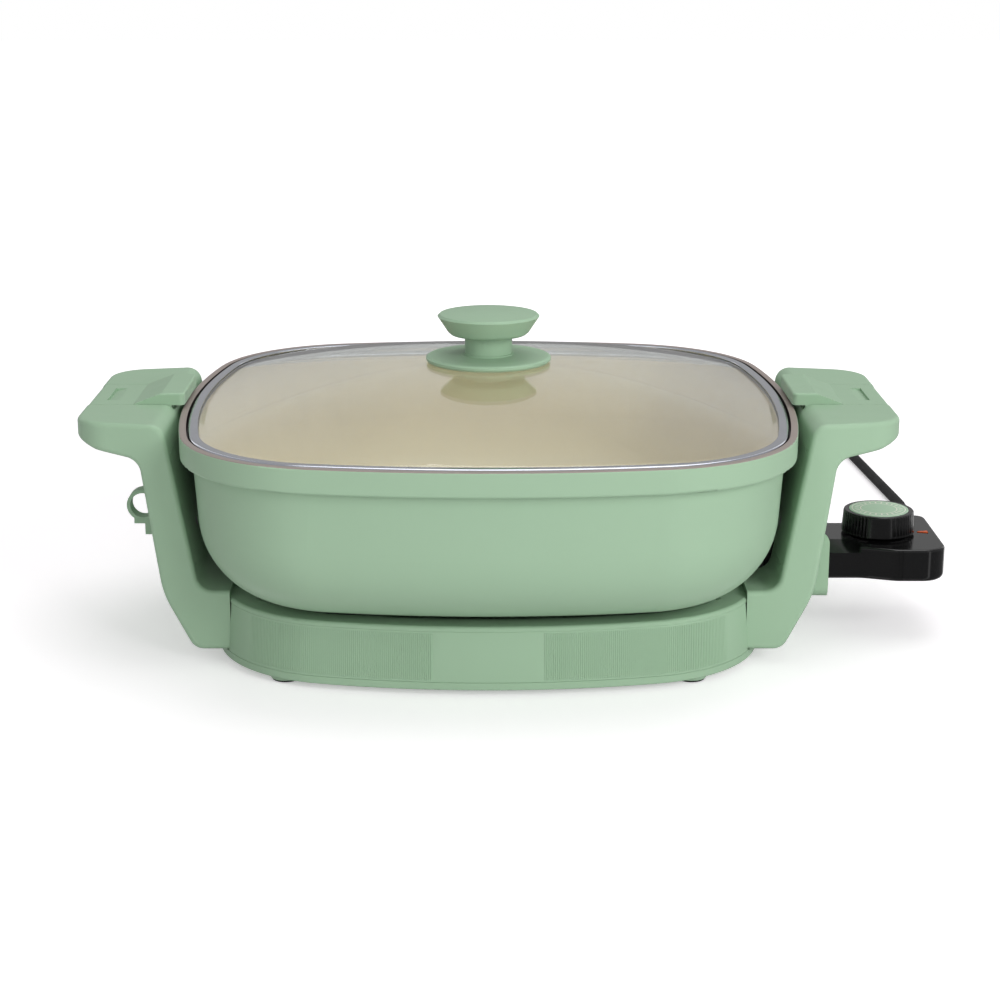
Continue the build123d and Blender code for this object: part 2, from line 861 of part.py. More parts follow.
with BuildPart() as base_room:
    with BuildSketch(Plane.XY.offset(plate_top_z)):
        draw_base(housing_inset + base_wall)
    extrude(amount=base_top_z - base_wall - plate_top_z, taper=base_lean)
    with BuildSketch(Plane.XY.offset(dish_floor_z - base_wall)):
        draw_base(deck_land + dish_slope - base_wall)
    with BuildSketch(Plane.XY.offset(base_top_z)):
        draw_base(deck_land - base_wall)
    loft(mode=Mode.SUBTRACT)
    with Locations((channel_inner_x, 0, dish_floor_z - base_wall)):
        Box(
            arm_seat_x,
            2 * (window_half + base_wall),
            base_top_z,
            align=(Align.MIN, Align.CENTER, Align.MIN),
            mode=Mode.SUBTRACT,
        )
    for side in (-1, 1):
        with Locations((side * (arm_seat_x - seat_gap - base_wall + arm_half), 0, 0)):
            Box(
                2 * arm_half,
                2 * (arm_half + seat_gap + base_wall),
                3 * base_top_z,
                mode=Mode.SUBTRACT,
            )
    with Locations(*[(x, y, plate_top_z) for x, y in post_points]):
        Cylinder(
            screw_boss_radius,
            base_top_z,
            align=(Align.CENTER, Align.CENTER, Align.MIN),
            mode=Mode.SUBTRACT,
        )

# Deck and inner wall in one moulding
with BuildPart() as base_housing:
    with BuildSketch(Plane.XY.offset(plate_top_z)):
        draw_base(housing_inset)
    extrude(amount=base_seam_z - plate_top_z, taper=base_lean)
    with BuildSketch(Plane.XY.offset(base_seam_z)):
        draw_base(base_inset(base_seam_z))
    extrude(amount=base_top_z - base_seam_z, taper=base_lean)
    fillet(base_housing.edges().group_by(Axis.Z)[-1], 1.6)
    with BuildSketch(Plane.XY.offset(dish_floor_z)):
        draw_base(deck_land + dish_slope)
    with BuildSketch(Plane.XY.offset(base_top_z)):
        draw_base(deck_land)
    loft(mode=Mode.SUBTRACT)
    with Locations((channel_inner_x, 0, dish_floor_z)):
        Box(
            arm_seat_x,
            2 * window_half,
            base_top_z,
            align=(Align.MIN, Align.CENTER, Align.MIN),
            mode=Mode.SUBTRACT,
        )
    for side in (-1, 1):
        with Locations((side * (arm_seat_x - seat_gap + arm_half), 0, 0)):
            Box(2 * arm_half, 2 * (arm_half + seat_gap), 3 * base_top_z, mode=Mode.SUBTRACT)
    add(base_room.part, mode=Mode.SUBTRACT)
    # Posts that carry the pan
    with Locations(
        *[(x, y, dish_floor_z) for x, y in support_points]
    ):
        Cylinder(
            support_post_radius,
            support_post_top_z - dish_floor_z,
            align=(Align.CENTER, Align.CENTER, Align.MIN),
        )
    # Vents in the slope at the corners
    for x_side in (-1, 1):
        for y_side in (-1, 1):
            with Locations(
                Location((x_side * vent_x, y_side * vent_y, base_top_z), (0, 0, -x_side * y_side * 45))
            ):
                Box(vent_length, vent_width, 2 * base_top_z, mode=Mode.SUBTRACT)
    # Screw holes in the arm seats and in the posts
    with Locations(*arm_screw_planes):
        Cylinder(
            screw_hole_radius,
            2 * base_wall,
            align=(Align.CENTER, Align.CENTER, Align.MIN),
            mode=Mode.SUBTRACT,
        )
    with Locations(*[(x, y, plate_top_z) for x, y in post_points]):
        Cylinder(
            screw_hole_radius,
            base_screw_length,
            align=(Align.CENTER, Align.CENTER, Align.MIN),
            mode=Mode.SUBTRACT,
        )
base_housing.part.label = "base_housing"
export_step(base_housing.part, "parts/base_housing.step")

# Front and rear fascias: leaning outer walls between the arms
for name, side in (("front_fascia", -1), ("rear_fascia", 1)):
    with BuildPart() as fascia:
        with BuildSketch(Plane.XY.offset(lip_top_z)):
            draw_base(base_inset(lip_top_z))
        extrude(amount=base_seam_z - lip_top_z, taper=base_lean)
        with BuildSketch(Plane.XY.offset(lip_top_z)):
            draw_base(base_inset(lip_top_z) + fascia_thickness)
        extrude(amount=base_seam_z - lip_top_z, taper=base_lean, mode=Mode.SUBTRACT)
        with Locations((0, side * (arm_half + seat_gap), 0)):
            Box(
                3 * base_half_x,
                3 * base_half_y,
                3 * base_top_z,
                align=(Align.CENTER, Align.MAX if side > 0 else Align.MIN, Align.CENTER),
                mode=Mode.SUBTRACT,
            )
    fascia.part.label = name
    export_step(fascia.part, f"parts/{name}.step")

# Bottom cover: a tray with a low lip, and bosses for the feet
foot_points = [(x, y) for x in (-foot_x, foot_x) for y in (-foot_y, foot_y)]
with BuildPart() as bottom_cover:
    with BuildSketch(Plane.XY.offset(base_underside_z)):
        draw_base(0)
    extrude(amount=cover_lip_height, taper=base_lean)
    fillet(bottom_cover.edges().group_by(Axis.Z)[0], 0.8)
    with BuildSketch(Plane.XY.offset(plate_top_z)):
        draw_base(cover_lip_width)
    extrude(amount=cover_lip_height, mode=Mode.SUBTRACT)
    with Locations(*[(x, y, base_underside_z + cover_thickness / 2) for x, y in foot_points]):
        Cone(
            foot_pad_radius + 0.6,
            foot_boss_radius,
            base_underside_z + cover_thickness / 2 - foot_pad_sink,
            align=(Align.CENTER, Align.CENTER, Align.MAX),
        )
        Cylinder(
            foot_pad_radius - foot_plug_inset,
            base_underside_z + cover_thickness / 2,
            align=(Align.CENTER, Align.CENTER, Align.MAX),
            mode=Mode.SUBTRACT,
        )
    with Locations(*[(x, y, plate_top_z) for x, y in post_points]):
        Cylinder(screw_hole_radius, 3 * cover_thickness, mode=Mode.SUBTRACT)
bottom_cover.part.label = "bottom_cover"
export_step(bottom_cover.part, "parts/bottom_cover.step")

# Rubber pads, each with a plug that sits in its boss
with BuildPart() as foot_pads:
    with Locations(*[(x, y, 0) for x, y in foot_points]):
        Cylinder(foot_pad_radius, foot_pad_sink, align=(Align.CENTER, Align.CENTER, Align.MIN))
        Cylinder(
            foot_pad_radius - foot_plug_inset - seat_gap,
            base_underside_z,
            align=(Align.CENTER, Align.CENTER, Align.MIN),
        )
    fillet(foot_pads.edges().group_by(Axis.Z)[0], 0.5)
foot_pads.part.label = "foot_pads"
export_step(foot_pads.part, "parts/foot_pads.step")

# Screws from below into the deck's posts
with BuildPart() as base_screws:
    with Locations(*[(x, y, base_underside_z) for x, y in post_points]):
        Cylinder(
            screw_radius, base_screw_length, align=(Align.CENTER, Align.CENTER, Align.MIN)
        )
        Cylinder(
            screw_head_radius,
            screw_head_height,
            align=(Align.CENTER, Align.CENTER, Align.MAX),
        )
base_screws.part.label = "base_screws"
export_step(base_screws.part, "parts/base_screws.step")

# Heat shield on the deck, and silicone pads between the posts and the pan
with BuildPart() as heat_shield:
    with BuildSketch(Plane.XY.offset(dish_floor_z)):
        RectangleRounded(2 * shield_half_x, 2 * shield_half_y, shield_corner)
        with Locations(*support_points):
            Circle(support_post_radius + shield_hole_gap, mode=Mode.SUBTRACT)
    extrude(amount=shield_thickness)
heat_shield.part.label = "heat_shield"
export_step(heat_shield.part, "parts/heat_shield.step")

with BuildPart() as support_pads:
    with Locations(*[(x, y, support_post_top_z) for x, y in support_points]):
        Cylinder(
            support_pad_radius, support_pad_height, align=(Align.CENTER, Align.CENTER, Align.MIN)
        )
    chamfer(support_pads.edges().group_by(Axis.Z)[-1], 0.8)
support_pads.part.label = "support_pads"
export_step(support_pads.part, "parts/support_pads.step")

# ---------------------------------------------------------------- arms and handles

lean_angle = math.atan(arm_slope)


def cover_plane(y, z, depth=0.0):
    """A plane on the arm's inner face, or this deep behind it, facing the pan."""
    return Plane(
        origin=(arm_inner_x(z) + depth / math.cos(lean_angle), y, z),
        x_dir=(0, 1, 0),
        z_dir=(-math.cos(lean_angle), 0, math.sin(lean_angle)),
    )


cover_screw_planes = [
    cover_plane(side * (arm_cover_half - cover_screw_inset), z)
    for side in (-1, 1)
    for z in (arm_cover_bottom_z + cover_screw_low, arm_cover_top_z - cover_screw_high)
]


def draw_cover_strip(bottom_z, top_z, depth):
    """The inner face's strip that the cover fills, from the front."""
    with BuildLine() as outline:
        Polyline(
            (arm_inner_x(bottom_z), bottom_z),
            (arm_inner_x(bottom_z) + depth, bottom_z),
            (arm_inner_x(top_z) + depth, top_z),
            (arm_inner_x(top_z), top_z),
            close=True,
        )
    make_face(outline.edges())


# Room inside the arm and handle
with BuildPart() as arm_room:
    with BuildSketch(Plane.XZ):
        draw_arm_profile()
        offset(amount=-arm_wall, mode=Mode.REPLACE)
    extrude(amount=arm_half - arm_wall, both=True)
    with BuildSketch(Plane.XY.offset(arm_bottom_z)):
        draw_handle_plan()
        offset(amount=-arm_wall, mode=Mode.REPLACE)
    extrude(amount=latch_wall_bottom_z - arm_bottom_z, mode=Mode.INTERSECT)
    with Locations((0, 0, arm_cover_bottom_z)):
        Box(
            3 * handle_end_x,
            3 * arm_half,
            arm_cover_bottom_z,
            align=(Align.CENTER, Align.CENTER, Align.MAX),
            mode=Mode.SUBTRACT,
        )
    # Bosses for the cover's screws
    with Locations(*cover_screw_planes):
        Cylinder(screw_boss_radius, handle_end_x, mode=Mode.SUBTRACT)

with BuildPart() as arm_blank:
    with BuildSketch(Plane.XZ):
        draw_arm_profile()
    extrude(amount=arm_half, both=True)
    with BuildSketch(Plane.XY):
        draw_handle_plan()
    extrude(amount=2 * handle_top_z, mode=Mode.INTERSECT)
    upright_faces = arm_blank.faces().filter_by(
        lambda face: abs(face.normal_at().Z) < 0.01 and face.center().X > arm_seat_x + 1
    )
    rounded_edges = upright_faces.edges().filter_by(Axis.Z, reverse=True)
    fillet(rounded_edges.filter_by(lambda edge: edge.center().Z > arm_bottom_z + 1), arm_edge)

# Screws that hold the arms to the base, driven from inside it
with BuildPart() as arm_screws:
    with Locations(*arm_screw_planes):
        Cylinder(screw_radius, arm_screw_length, align=(Align.CENTER, Align.CENTER, Align.MIN))
        Cylinder(
            screw_head_radius,
            screw_head_height,
            align=(Align.CENTER, Align.CENTER, Align.MAX),
        )
arm_screws.part.label = "arm_screws"
export_step(arm_screws.part, "parts/arm_screws.step")

# What both arms lose: the room inside, the cover's seat, the latch's recess and its slot
with BuildPart() as arm_cuts:
    add(arm_room.part)
    with BuildSketch(Plane.XZ):
        draw_cover_strip(
            arm_cover_bottom_z - seat_gap, arm_cover_top_z + seat_gap, arm_cover_thickness + seat_gap
        )
    extrude(amount=arm_cover_half + seat_gap, both=True)
    with BuildSketch(Plane.XZ):
        draw_cover_strip(
            arm_cover_bottom_z + arm_cover_ledge,
            arm_cover_top_z - arm_cover_ledge,
            arm_cover_thickness + 2 * arm_wall,
        )
    extrude(amount=arm_cover_half - 3 * arm_cover_ledge, both=True)
    with Locations((arm_seat_x, 0, latch_floor_z)):
        Box(
            handle_end_x,
            2 * (latch_half + slide_gap),
            latch_block_top_z,
            align=(Align.MIN, Align.CENTER, Align.MIN),
        )
    with Locations((latch_keel_x - latch_keel_length / 2 - slide_gap, 0, latch_floor_z)):
        Box(
            keel_slot_length,
            latch_keel_width + 2 * slide_gap,
            4 * arm_wall,
            align=(Align.MIN, Align.CENTER, Align.CENTER),
        )
    with Locations(*cover_screw_planes):
        Cylinder(screw_hole_radius, 2 * cover_screw_length + seat_gap)
    with Locations(*[Plane((arm_seat_x, y, z), z_dir=(1, 0, 0)) for y, z in arm_screw_points]):
        Cylinder(
            screw_hole_radius,
            arm_screw_length,
            align=(Align.CENTER, Align.CENTER, Align.MIN),
        )

with BuildPart() as window_cut:
    with BuildSketch(Plane.YZ.offset(arm_seat_x - 1)):
        with Locations((0, (window_bottom_z + window_top_z) / 2)):
            RectangleRounded(2 * window_half, window_top_z - window_bottom_z, frame_corner)
    extrude(amount=arm_half)

# Right arm: its tunnel wall stays round the probe's window
with BuildPart() as right_arm:
    add(arm_blank.part)
    add(arm_cuts.part, mode=Mode.SUBTRACT)
    with BuildSketch(Plane.YZ.offset(arm_seat_x)):
        with Locations((0, (window_bottom_z + window_top_z) / 2)):
            RectangleRounded(
                2 * (window_half + arm_wall),
                window_top_z - window_bottom_z + 2 * arm_wall,
                frame_corner + arm_wall,
            )
    tunnel = extrude(amount=arm_half, mode=Mode.PRIVATE)
    add(tunnel.intersect(arm_blank.part))
    with BuildSketch(Plane.XZ):
        draw_cover_strip(
            arm_cover_bottom_z - seat_gap, arm_cover_top_z + seat_gap, arm_cover_thickness + seat_gap
        )
    extrude(amount=arm_cover_half + seat_gap, both=True, mode=Mode.SUBTRACT)
    add(window_cut.part, mode=Mode.SUBTRACT)
right_arm.part.label = "right_arm"
export_step(right_arm.part, "parts/right_arm.step")

# Left arm: plain, with a hole for the cord clip's screw
clip_lean = math.atan(outer_slope)
clip_screw_z = (clip_block_bottom_z + clip_block_top_z) / 2 + 0.5
clip_screw_plane = Plane(
    (-arm_outer_x(clip_screw_z), 0, clip_screw_z),
    z_dir=(-math.cos(clip_lean), 0, -math.sin(clip_lean)),
)
with BuildPart() as left_arm:
    add(arm_blank.part)
    add(arm_cuts.part, mode=Mode.SUBTRACT)
    mirror(about=Plane.YZ, mode=Mode.REPLACE)
    with Locations(clip_screw_plane):
        Cylinder(screw_hole_radius, 3 * arm_wall, mode=Mode.SUBTRACT)
left_arm.part.label = "left_arm"
export_step(left_arm.part, "parts/left_arm.step")

# Inner covers of the arms
with BuildPart() as right_arm_cover:
    with BuildSketch(Plane.XZ):
        draw_cover_strip(arm_cover_bottom_z, arm_cover_top_z, arm_cover_thickness)
    extrude(amount=arm_cover_half, both=True)
    fillet(right_arm_cover.edges().filter_by(Axis.X), arm_cover_corner)
    with Locations(*cover_screw_planes):
        Cylinder(screw_hole_radius, 3 * cover_screw_length, mode=Mode.SUBTRACT)
        Cylinder(screw_head_radius + seat_gap, 2 * cover_screw_sink, mode=Mode.SUBTRACT)

with BuildPart() as left_arm_cover:
    add(right_arm_cover.part)
    mirror(about=Plane.YZ, mode=Mode.REPLACE)
left_arm_cover.part.label = "left_arm_cover"
export_step(left_arm_cover.part, "parts/left_arm_cover.step")

with right_arm_cover:
    add(window_cut.part, mode=Mode.SUBTRACT)
right_arm_cover.part.label = "right_arm_cover"
export_step(right_arm_cover.part, "parts/right_arm_cover.step")

with BuildPart() as cover_screws:
    with Locations(*[plane.offset(-cover_screw_sink) for plane in cover_screw_planes]):
        Cylinder(
            screw_head_radius, cover_screw_head, align=(Align.CENTER, Align.CENTER, Align.MIN)
        )
        Cylinder(
            screw_radius,
            cover_screw_length - cover_screw_sink,
            align=(Align.CENTER, Align.CENTER, Align.MAX),
        )
    mirror(about=Plane.YZ)
cover_screws.part.label = "cover_screws"
export_step(cover_screws.part, "parts/cover_screws.step")

# Frame that lines the probe's window
with BuildPart() as window_frame:
    with BuildSketch(Plane.YZ.offset(frame_inner_x)):
        with Locations((0, (window_bottom_z + window_top_z) / 2)):
            RectangleRounded(
                2 * (window_half - seat_gap),
                window_top_z - window_bottom_z - 2 * seat_gap,
                frame_corner - seat_gap,
            )
            RectangleRounded(
                2 * (window_half - seat_gap - frame_wall),
                window_top_z - window_bottom_z - 2 * (seat_gap + frame_wall),
                frame_corner - seat_gap - frame_wall,
                mode=Mode.SUBTRACT,
            )
    extrude(amount=frame_outer_x - frame_inner_x)
    # Outside the arm the frame is open at the top
    with Locations((arm_outer_x(window_top_z) + 1, 0, window_top_z - frame_corner)):
        Box(
            frame_outer_x,
            2 * (window_half - seat_gap - frame_wall),
            2 * frame_corner,
            align=(Align.MIN, Align.CENTER, Align.MIN),
            mode=Mode.SUBTRACT,
        )
    with BuildSketch(Plane.XZ):
        with Locations((0, window_top_z)):
            Rectangle(frame_outer_x, frame_outer_x, align=(Align.MIN, Align.MAX))
        fillet(vertices().sort_by(Axis.X)[-2:].sort_by(Axis.Y)[-1], frame_corner)
    extrude(amount=window_half, both=True, mode=Mode.INTERSECT)
window_frame.part.label = "window_frame"
export_step(window_frame.part, "parts/window_frame.step")

# ---------------------------------------------------------------- latches

# Sliding latch: strip, ramp and block, with a finger scoop and a keel through the handle's top
with BuildPart() as right_latch:
    with BuildSketch(Plane.XZ):
        with BuildLine():
            Polyline(
                (latch_nose_x, latch_nose_bottom_z),
                (latch_step_x, latch_nose_bottom_z),
                (latch_step_x, latch_floor_z + seat_gap),
                (latch_outer_x, latch_floor_z + seat_gap),
                (latch_outer_x, handle_top_z),
                (latch_ramp_x, handle_top_z),
                (latch_block_x, latch_block_top_z),
                (latch_nose_x, latch_block_top_z),
                close=True,
            )
        make_face()
    extrude(amount=latch_half, both=True)
    fillet(right_latch.edges().filter_by(Axis.Z).group_by(Axis.X)[0], latch_corner)
    fillet(right_latch.faces().filter_by(Axis.Z).sort_by(Axis.Z)[-1].edges(), latch_top_round)
    outer_end = right_latch.faces().sort_by(Axis.X)[-1]
    fillet(outer_end.edges().group_by(Axis.Z)[-1], arm_edge)
    with BuildSketch(Plane.XZ):
        with BuildLine():
            Polyline(
                (latch_scoop_x - latch_scoop_run, handle_top_z),
                (latch_scoop_x, handle_top_z - latch_scoop_depth),
                (latch_scoop_x, handle_top_z + 1),
                (latch_scoop_x - latch_scoop_run, handle_top_z + 1),
                close=True,
            )
        make_face()
    extrude(amount=latch_scoop_half, both=True, mode=Mode.SUBTRACT)
    with Locations((latch_keel_x, 0, latch_wall_bottom_z - 2 * seat_gap)):
        Box(
            latch_keel_length,
            latch_keel_width,
            arm_wall + 4 * seat_gap,
            align=(Align.CENTER, Align.CENTER, Align.MIN),
        )
        Cylinder(
            screw_hole_radius,
            arm_wall + 3,
            align=(Align.CENTER, Align.CENTER, Align.MIN),
            mode=Mode.SUBTRACT,
        )
right_latch.part.label = "right_latch"
export_step(right_latch.part, "parts/right_latch.step")

with BuildPart() as left_latch:
    add(right_latch.part)
    mirror(about=Plane.YZ, mode=Mode.REPLACE)
left_latch.part.label = "left_latch"
export_step(left_latch.part, "parts/left_latch.step")

# Retainer plate under each handle's top, and the screw that holds it to the keel
retainer_top_z = latch_wall_bottom_z - 2 * seat_gap
for name, side in (("left", -1), ("right", 1)):
    with BuildPart() as retainer:
        with Locations((side * latch_keel_x, 0, retainer_top_z)):
            Box(
                retainer_length,
                retainer_width,
                retainer_thickness,
                align=(Align.CENTER, Align.CENTER, Align.MAX),
            )
            Cylinder(screw_hole_radius, 3 * retainer_thickness, mode=Mode.SUBTRACT)
        fillet(retainer.edges().filter_by(Axis.Z).filter_by(GeomType.LINE), retainer_corner)
    retainer.part.label = f"{name}_latch_retainer"
    export_step(retainer.part, f"parts/{name}_latch_retainer.step")
    with BuildPart() as retainer_screw:
        with Locations((side * latch_keel_x, 0, retainer_top_z - retainer_thickness)):
            Cylinder(
                screw_radius,
                retainer_thickness + arm_wall + 2.5,
                align=(Align.CENTER, Align.CENTER, Align.MIN),
            )
            Cylinder(
                screw_head_radius,
                screw_head_height,
                align=(Align.CENTER, Align.CENTER, Align.MAX),
            )
    retainer_screw.part.label = f"{name}_latch_screw"
    export_step(retainer_screw.part, f"parts/{name}_latch_screw.step")

# ---------------------------------------------------------------- cord clip

# Block with a loop that the cord's end is hung in
with BuildPart() as cord_clip:
    with BuildSketch(Plane.XZ):
        with BuildLine():
            Polyline(
                (-arm_outer_x(clip_block_bottom_z), clip_block_bottom_z),
                (-clip_block_x, clip_block_bottom_z),
                (-clip_block_x, clip_block_top_z),
                (-arm_outer_x(clip_block_top_z), clip_block_top_z),
                close=True,
            )
        make_face()
        with Locations((-clip_x, clip_block_top_z)):
            Rectangle(2 * clip_tooth_half, clip_tooth_height)
        with Locations((-clip_x, clip_z)):
            Circle(clip_radius)
            Circle(clip_radius - clip_wall, mode=Mode.SUBTRACT)
    extrude(amount=clip_length / 2, both=True)
    with Locations(clip_screw_plane):
        Cylinder(screw_hole_radius, 14, mode=Mode.SUBTRACT)
cord_clip.part.label = "cord_clip"
export_step(cord_clip.part, "parts/cord_clip.step")

with BuildPart() as clip_screw:
    with Locations(clip_screw_plane.offset(-arm_wall)):
        Cylinder(screw_radius, arm_wall + 6, align=(Align.CENTER, Align.CENTER, Align.MIN))
        Cylinder(
            screw_head_radius, screw_head_height, align=(Align.CENTER, Align.CENTER, Align.MAX)
        )
clip_screw.part.label = "clip_screw"
export_step(clip_screw.part, "parts/clip_screw.step")

# ---------------------------------------------------------------- probe

probe_height = probe_top_z - probe_bottom_z
probe_ceiling_z = probe_top_z - probe_shoulder_drop - probe_shell
probe_floor_z = probe_bottom_z + probe_shell
probe_screw_points = [
    (x, side * (probe_neck_half - probe_screw_side))
    for x in (probe_inner_x + probe_screw_inner, probe_outer_x - probe_screw_outer)
    for side in (-1, 1)
]
relief_wall_y = probe_bulge_half

# What both halves of the case lose: grip ribs' grooves, the nose's neck and the cord's collar
with BuildPart() as case_cuts:
    for index in range(probe_rib_count):
        with Locations((probe_rib_x + probe_rib_pitch * index, 0, 0)):
            with Locations((0, probe_bulge_half, 0), (0, -probe_bulge_half, 0)):
                Box(probe_rib_pitch / 2, 2 * probe_rib_depth, 3 * probe_top_z)
    with Locations((probe_inner_x, 0, (nose_bottom_z + nose_top_z) / 2)):
        Box(
            3 * probe_shell,
            2 * nose_neck_half,
            nose_top_z - nose_bottom_z - 2 * nose_neck_inset,
        )
    with Locations(Plane((relief_x, relief_wall_y, relief_z), z_dir=(0, 1, 0))):
        Cylinder(relief_root_radius + seat_gap, 3 * probe_shell)

with BuildPart() as probe_lower_case:
    with BuildSketch(Plane.XY.offset(probe_bottom_z)):
        draw_probe_plan()
    extrude(amount=probe_split_z - probe_bottom_z)
    fillet(probe_lower_case.edges().group_by(Axis.Z)[0], probe_under_round)
    with BuildSketch(Plane.XY.offset(probe_floor_z)):
        draw_probe_plan()
        offset(amount=-probe_shell, mode=Mode.REPLACE)
    extrude(amount=probe_height, mode=Mode.SUBTRACT)
    add(case_cuts.part, mode=Mode.SUBTRACT)
    with Locations(*[(x, y, probe_floor_z) for x, y in probe_screw_points]):
        Cylinder(
            screw_boss_radius,
            probe_split_z - probe_floor_z,
            align=(Align.CENTER, Align.CENTER, Align.MIN),
        )
    with Locations(*[(x, y, probe_bottom_z) for x, y in probe_screw_points]):
        Cylinder(screw_hole_radius, 3 * probe_height, mode=Mode.SUBTRACT)
        Cylinder(screw_head_radius + seat_gap, 2 * screw_head_height, mode=Mode.SUBTRACT)
probe_lower_case.part.label = "probe_lower_case"
export_step(probe_lower_case.part, "parts/probe_lower_case.step")

with BuildPart() as probe_upper_case:
    with BuildSketch(Plane.XY.offset(probe_split_z)):
        draw_probe_plan()
    extrude(amount=probe_top_z - probe_split_z)
    fillet(probe_upper_case.edges().group_by(Axis.Z)[-1], probe_top_round)
    # Shoulders slope down beside the flat deck of the neck
    for side in (-1, 1):
        with BuildSketch(Plane.YZ.offset(probe_inner_x - 1)):
            with BuildLine():
                Polyline(
                    (side * probe_deck_half, probe_top_z),
                    (side * (2 * probe_neck_half - probe_deck_half), probe_top_z - 2 * probe_shoulder_drop),
                    (side * (2 * probe_neck_half - probe_deck_half), probe_top_z + 1),
                    (side * probe_deck_half, probe_top_z + 1),
                    close=True,
                )
            make_face()
        extrude(amount=probe_shoulder_x - probe_inner_x, mode=Mode.SUBTRACT)
    with BuildSketch(Plane.XY.offset(probe_split_z)):
        draw_probe_plan()
        offset(amount=-probe_shell, mode=Mode.REPLACE)
    extrude(amount=probe_ceiling_z - probe_split_z, mode=Mode.SUBTRACT)
    with BuildSketch(Plane.XY.offset(probe_split_z)):
        draw_probe_plan()
        offset(amount=-probe_shell, mode=Mode.REPLACE)
        with Locations((probe_shoulder_x, 0)):
            Rectangle(
                probe_outer_x,
                2 * probe_bulge_half,
                align=(Align.MIN, Align.CENTER),
                mode=Mode.INTERSECT,
            )
    extrude(amount=probe_top_z - probe_shell - probe_split_z, mode=Mode.SUBTRACT)
    add(case_cuts.part, mode=Mode.SUBTRACT)
    with Locations((dial_x, 0, probe_split_z)):
        Cylinder(
            2 * shaft_radius,
            probe_top_z - probe_split_z - probe_shell,
            align=(Align.CENTER, Align.CENTER, Align.MIN),
        )
    with Locations(*[(x, y, probe_split_z) for x, y in probe_screw_points]):
        Cylinder(
            screw_boss_radius,
            probe_ceiling_z - probe_split_z,
            align=(Align.CENTER, Align.CENTER, Align.MIN),
        )
    with Locations((probe_screw_points[-1][0], 0, probe_ceiling_z)):
        with Locations((0, probe_screw_points[-1][1], 0), (0, -probe_screw_points[-1][1], 0)):
            Cylinder(
                screw_boss_radius,
                probe_shoulder_drop,
                align=(Align.CENTER, Align.CENTER, Align.MIN),
            )
    with Locations(*[(x, y, probe_ceiling_z) for x, y in probe_screw_points]):
        Cylinder(
            screw_hole_radius,
            probe_height,
            align=(Align.CENTER, Align.CENTER, Align.MAX),
            mode=Mode.SUBTRACT,
        )
    with Locations((dial_x, 0, probe_top_z)):
        Cylinder(shaft_radius + running_gap, 3 * probe_height, mode=Mode.SUBTRACT)
    with BuildSketch(Plane.XY.offset(probe_top_z - pointer_thickness / 2)):
        with Locations((pointer_x, 0)):
            Triangle(
                a=pointer_width + 2 * seat_gap, b=pointer_length, c=pointer_length, rotation=90
            )
    extrude(amount=probe_height, mode=Mode.SUBTRACT)
probe_upper_case.part.label = "probe_upper_case"
export_step(probe_upper_case.part, "parts/probe_upper_case.step")

with BuildPart() as pointer_mark:
    with BuildSketch(Plane.XY.offset(probe_top_z - pointer_thickness / 2)):
        with Locations((pointer_x, 0)):
            Triangle(
                a=pointer_width, b=pointer_length - 2 * seat_gap, c=pointer_length - 2 * seat_gap, rotation=90
            )
    extrude(amount=pointer_thickness)
pointer_mark.part.label = "pointer_mark"
export_step(pointer_mark.part, "parts/pointer_mark.step")

# Nose: slides into the guard, with sockets for the two pins and a bore for the sensor
nose_z = (nose_bottom_z + nose_top_z) / 2
sleeve_outer_radius = pin_radius + running_gap + sleeve_wall
sleeve_planes = [
    Plane((nose_tip_x, side * terminal_half, element_z), z_dir=(1, 0, 0)) for side in (-1, 1)
]
with BuildPart() as probe_nose:
    with Locations((nose_tip_x, 0, nose_z)):
        Box(
            probe_inner_x - nose_tip_x,
            2 * nose_half,
            nose_top_z - nose_bottom_z,
            align=(Align.MIN, Align.CENTER, Align.CENTER),
        )
    fillet(probe_nose.edges().filter_by(Axis.X), 2.0)
    chamfer(probe_nose.faces().sort_by(Axis.X)[0].edges(), 0.8)
    with Locations((probe_inner_x, 0, nose_z)):
        Box(
            probe_shell + 2 * seat_gap,
            2 * (nose_neck_half - seat_gap),
            nose_top_z - nose_bottom_z - 2 * (nose_neck_inset + seat_gap),
            align=(Align.MIN, Align.CENTER, Align.CENTER),
        )
    with Locations((probe_inner_x + probe_shell + seat_gap, 0, probe_floor_z + seat_gap)):
        Box(
            nose_flange_x - probe_inner_x - probe_shell - seat_gap,
            2 * nose_flange_half,
            probe_ceiling_z - probe_floor_z - 2 * seat_gap,
            align=(Align.MIN, Align.CENTER, Align.MIN),
        )
    with Locations(*sleeve_planes):
        Cylinder(
            sleeve_outer_radius + seat_gap / 2,
            sleeve_length + 0.5,
            align=(Align.CENTER, Align.CENTER, Align.MIN),
            mode=Mode.SUBTRACT,
        )
    with Locations(Plane((nose_tip_x, 0, element_z), z_dir=(1, 0, 0))):
        Cylinder(sensor_radius + seat_gap / 2, 4 * sleeve_length, mode=Mode.SUBTRACT)
probe_nose.part.label = "probe_nose"
export_step(probe_nose.part, "parts/probe_nose.step")

with BuildPart() as contact_sleeves:
    with Locations(*[plane.offset(0.5) for plane in sleeve_planes]):
        Cylinder(
            sleeve_outer_radius, sleeve_length, align=(Align.CENTER, Align.CENTER, Align.MIN)
        )
        Cylinder(pin_radius + running_gap, 3 * sleeve_length, mode=Mode.SUBTRACT)
contact_sleeves.part.label = "contact_sleeves"
export_step(contact_sleeves.part, "parts/contact_sleeves.step")

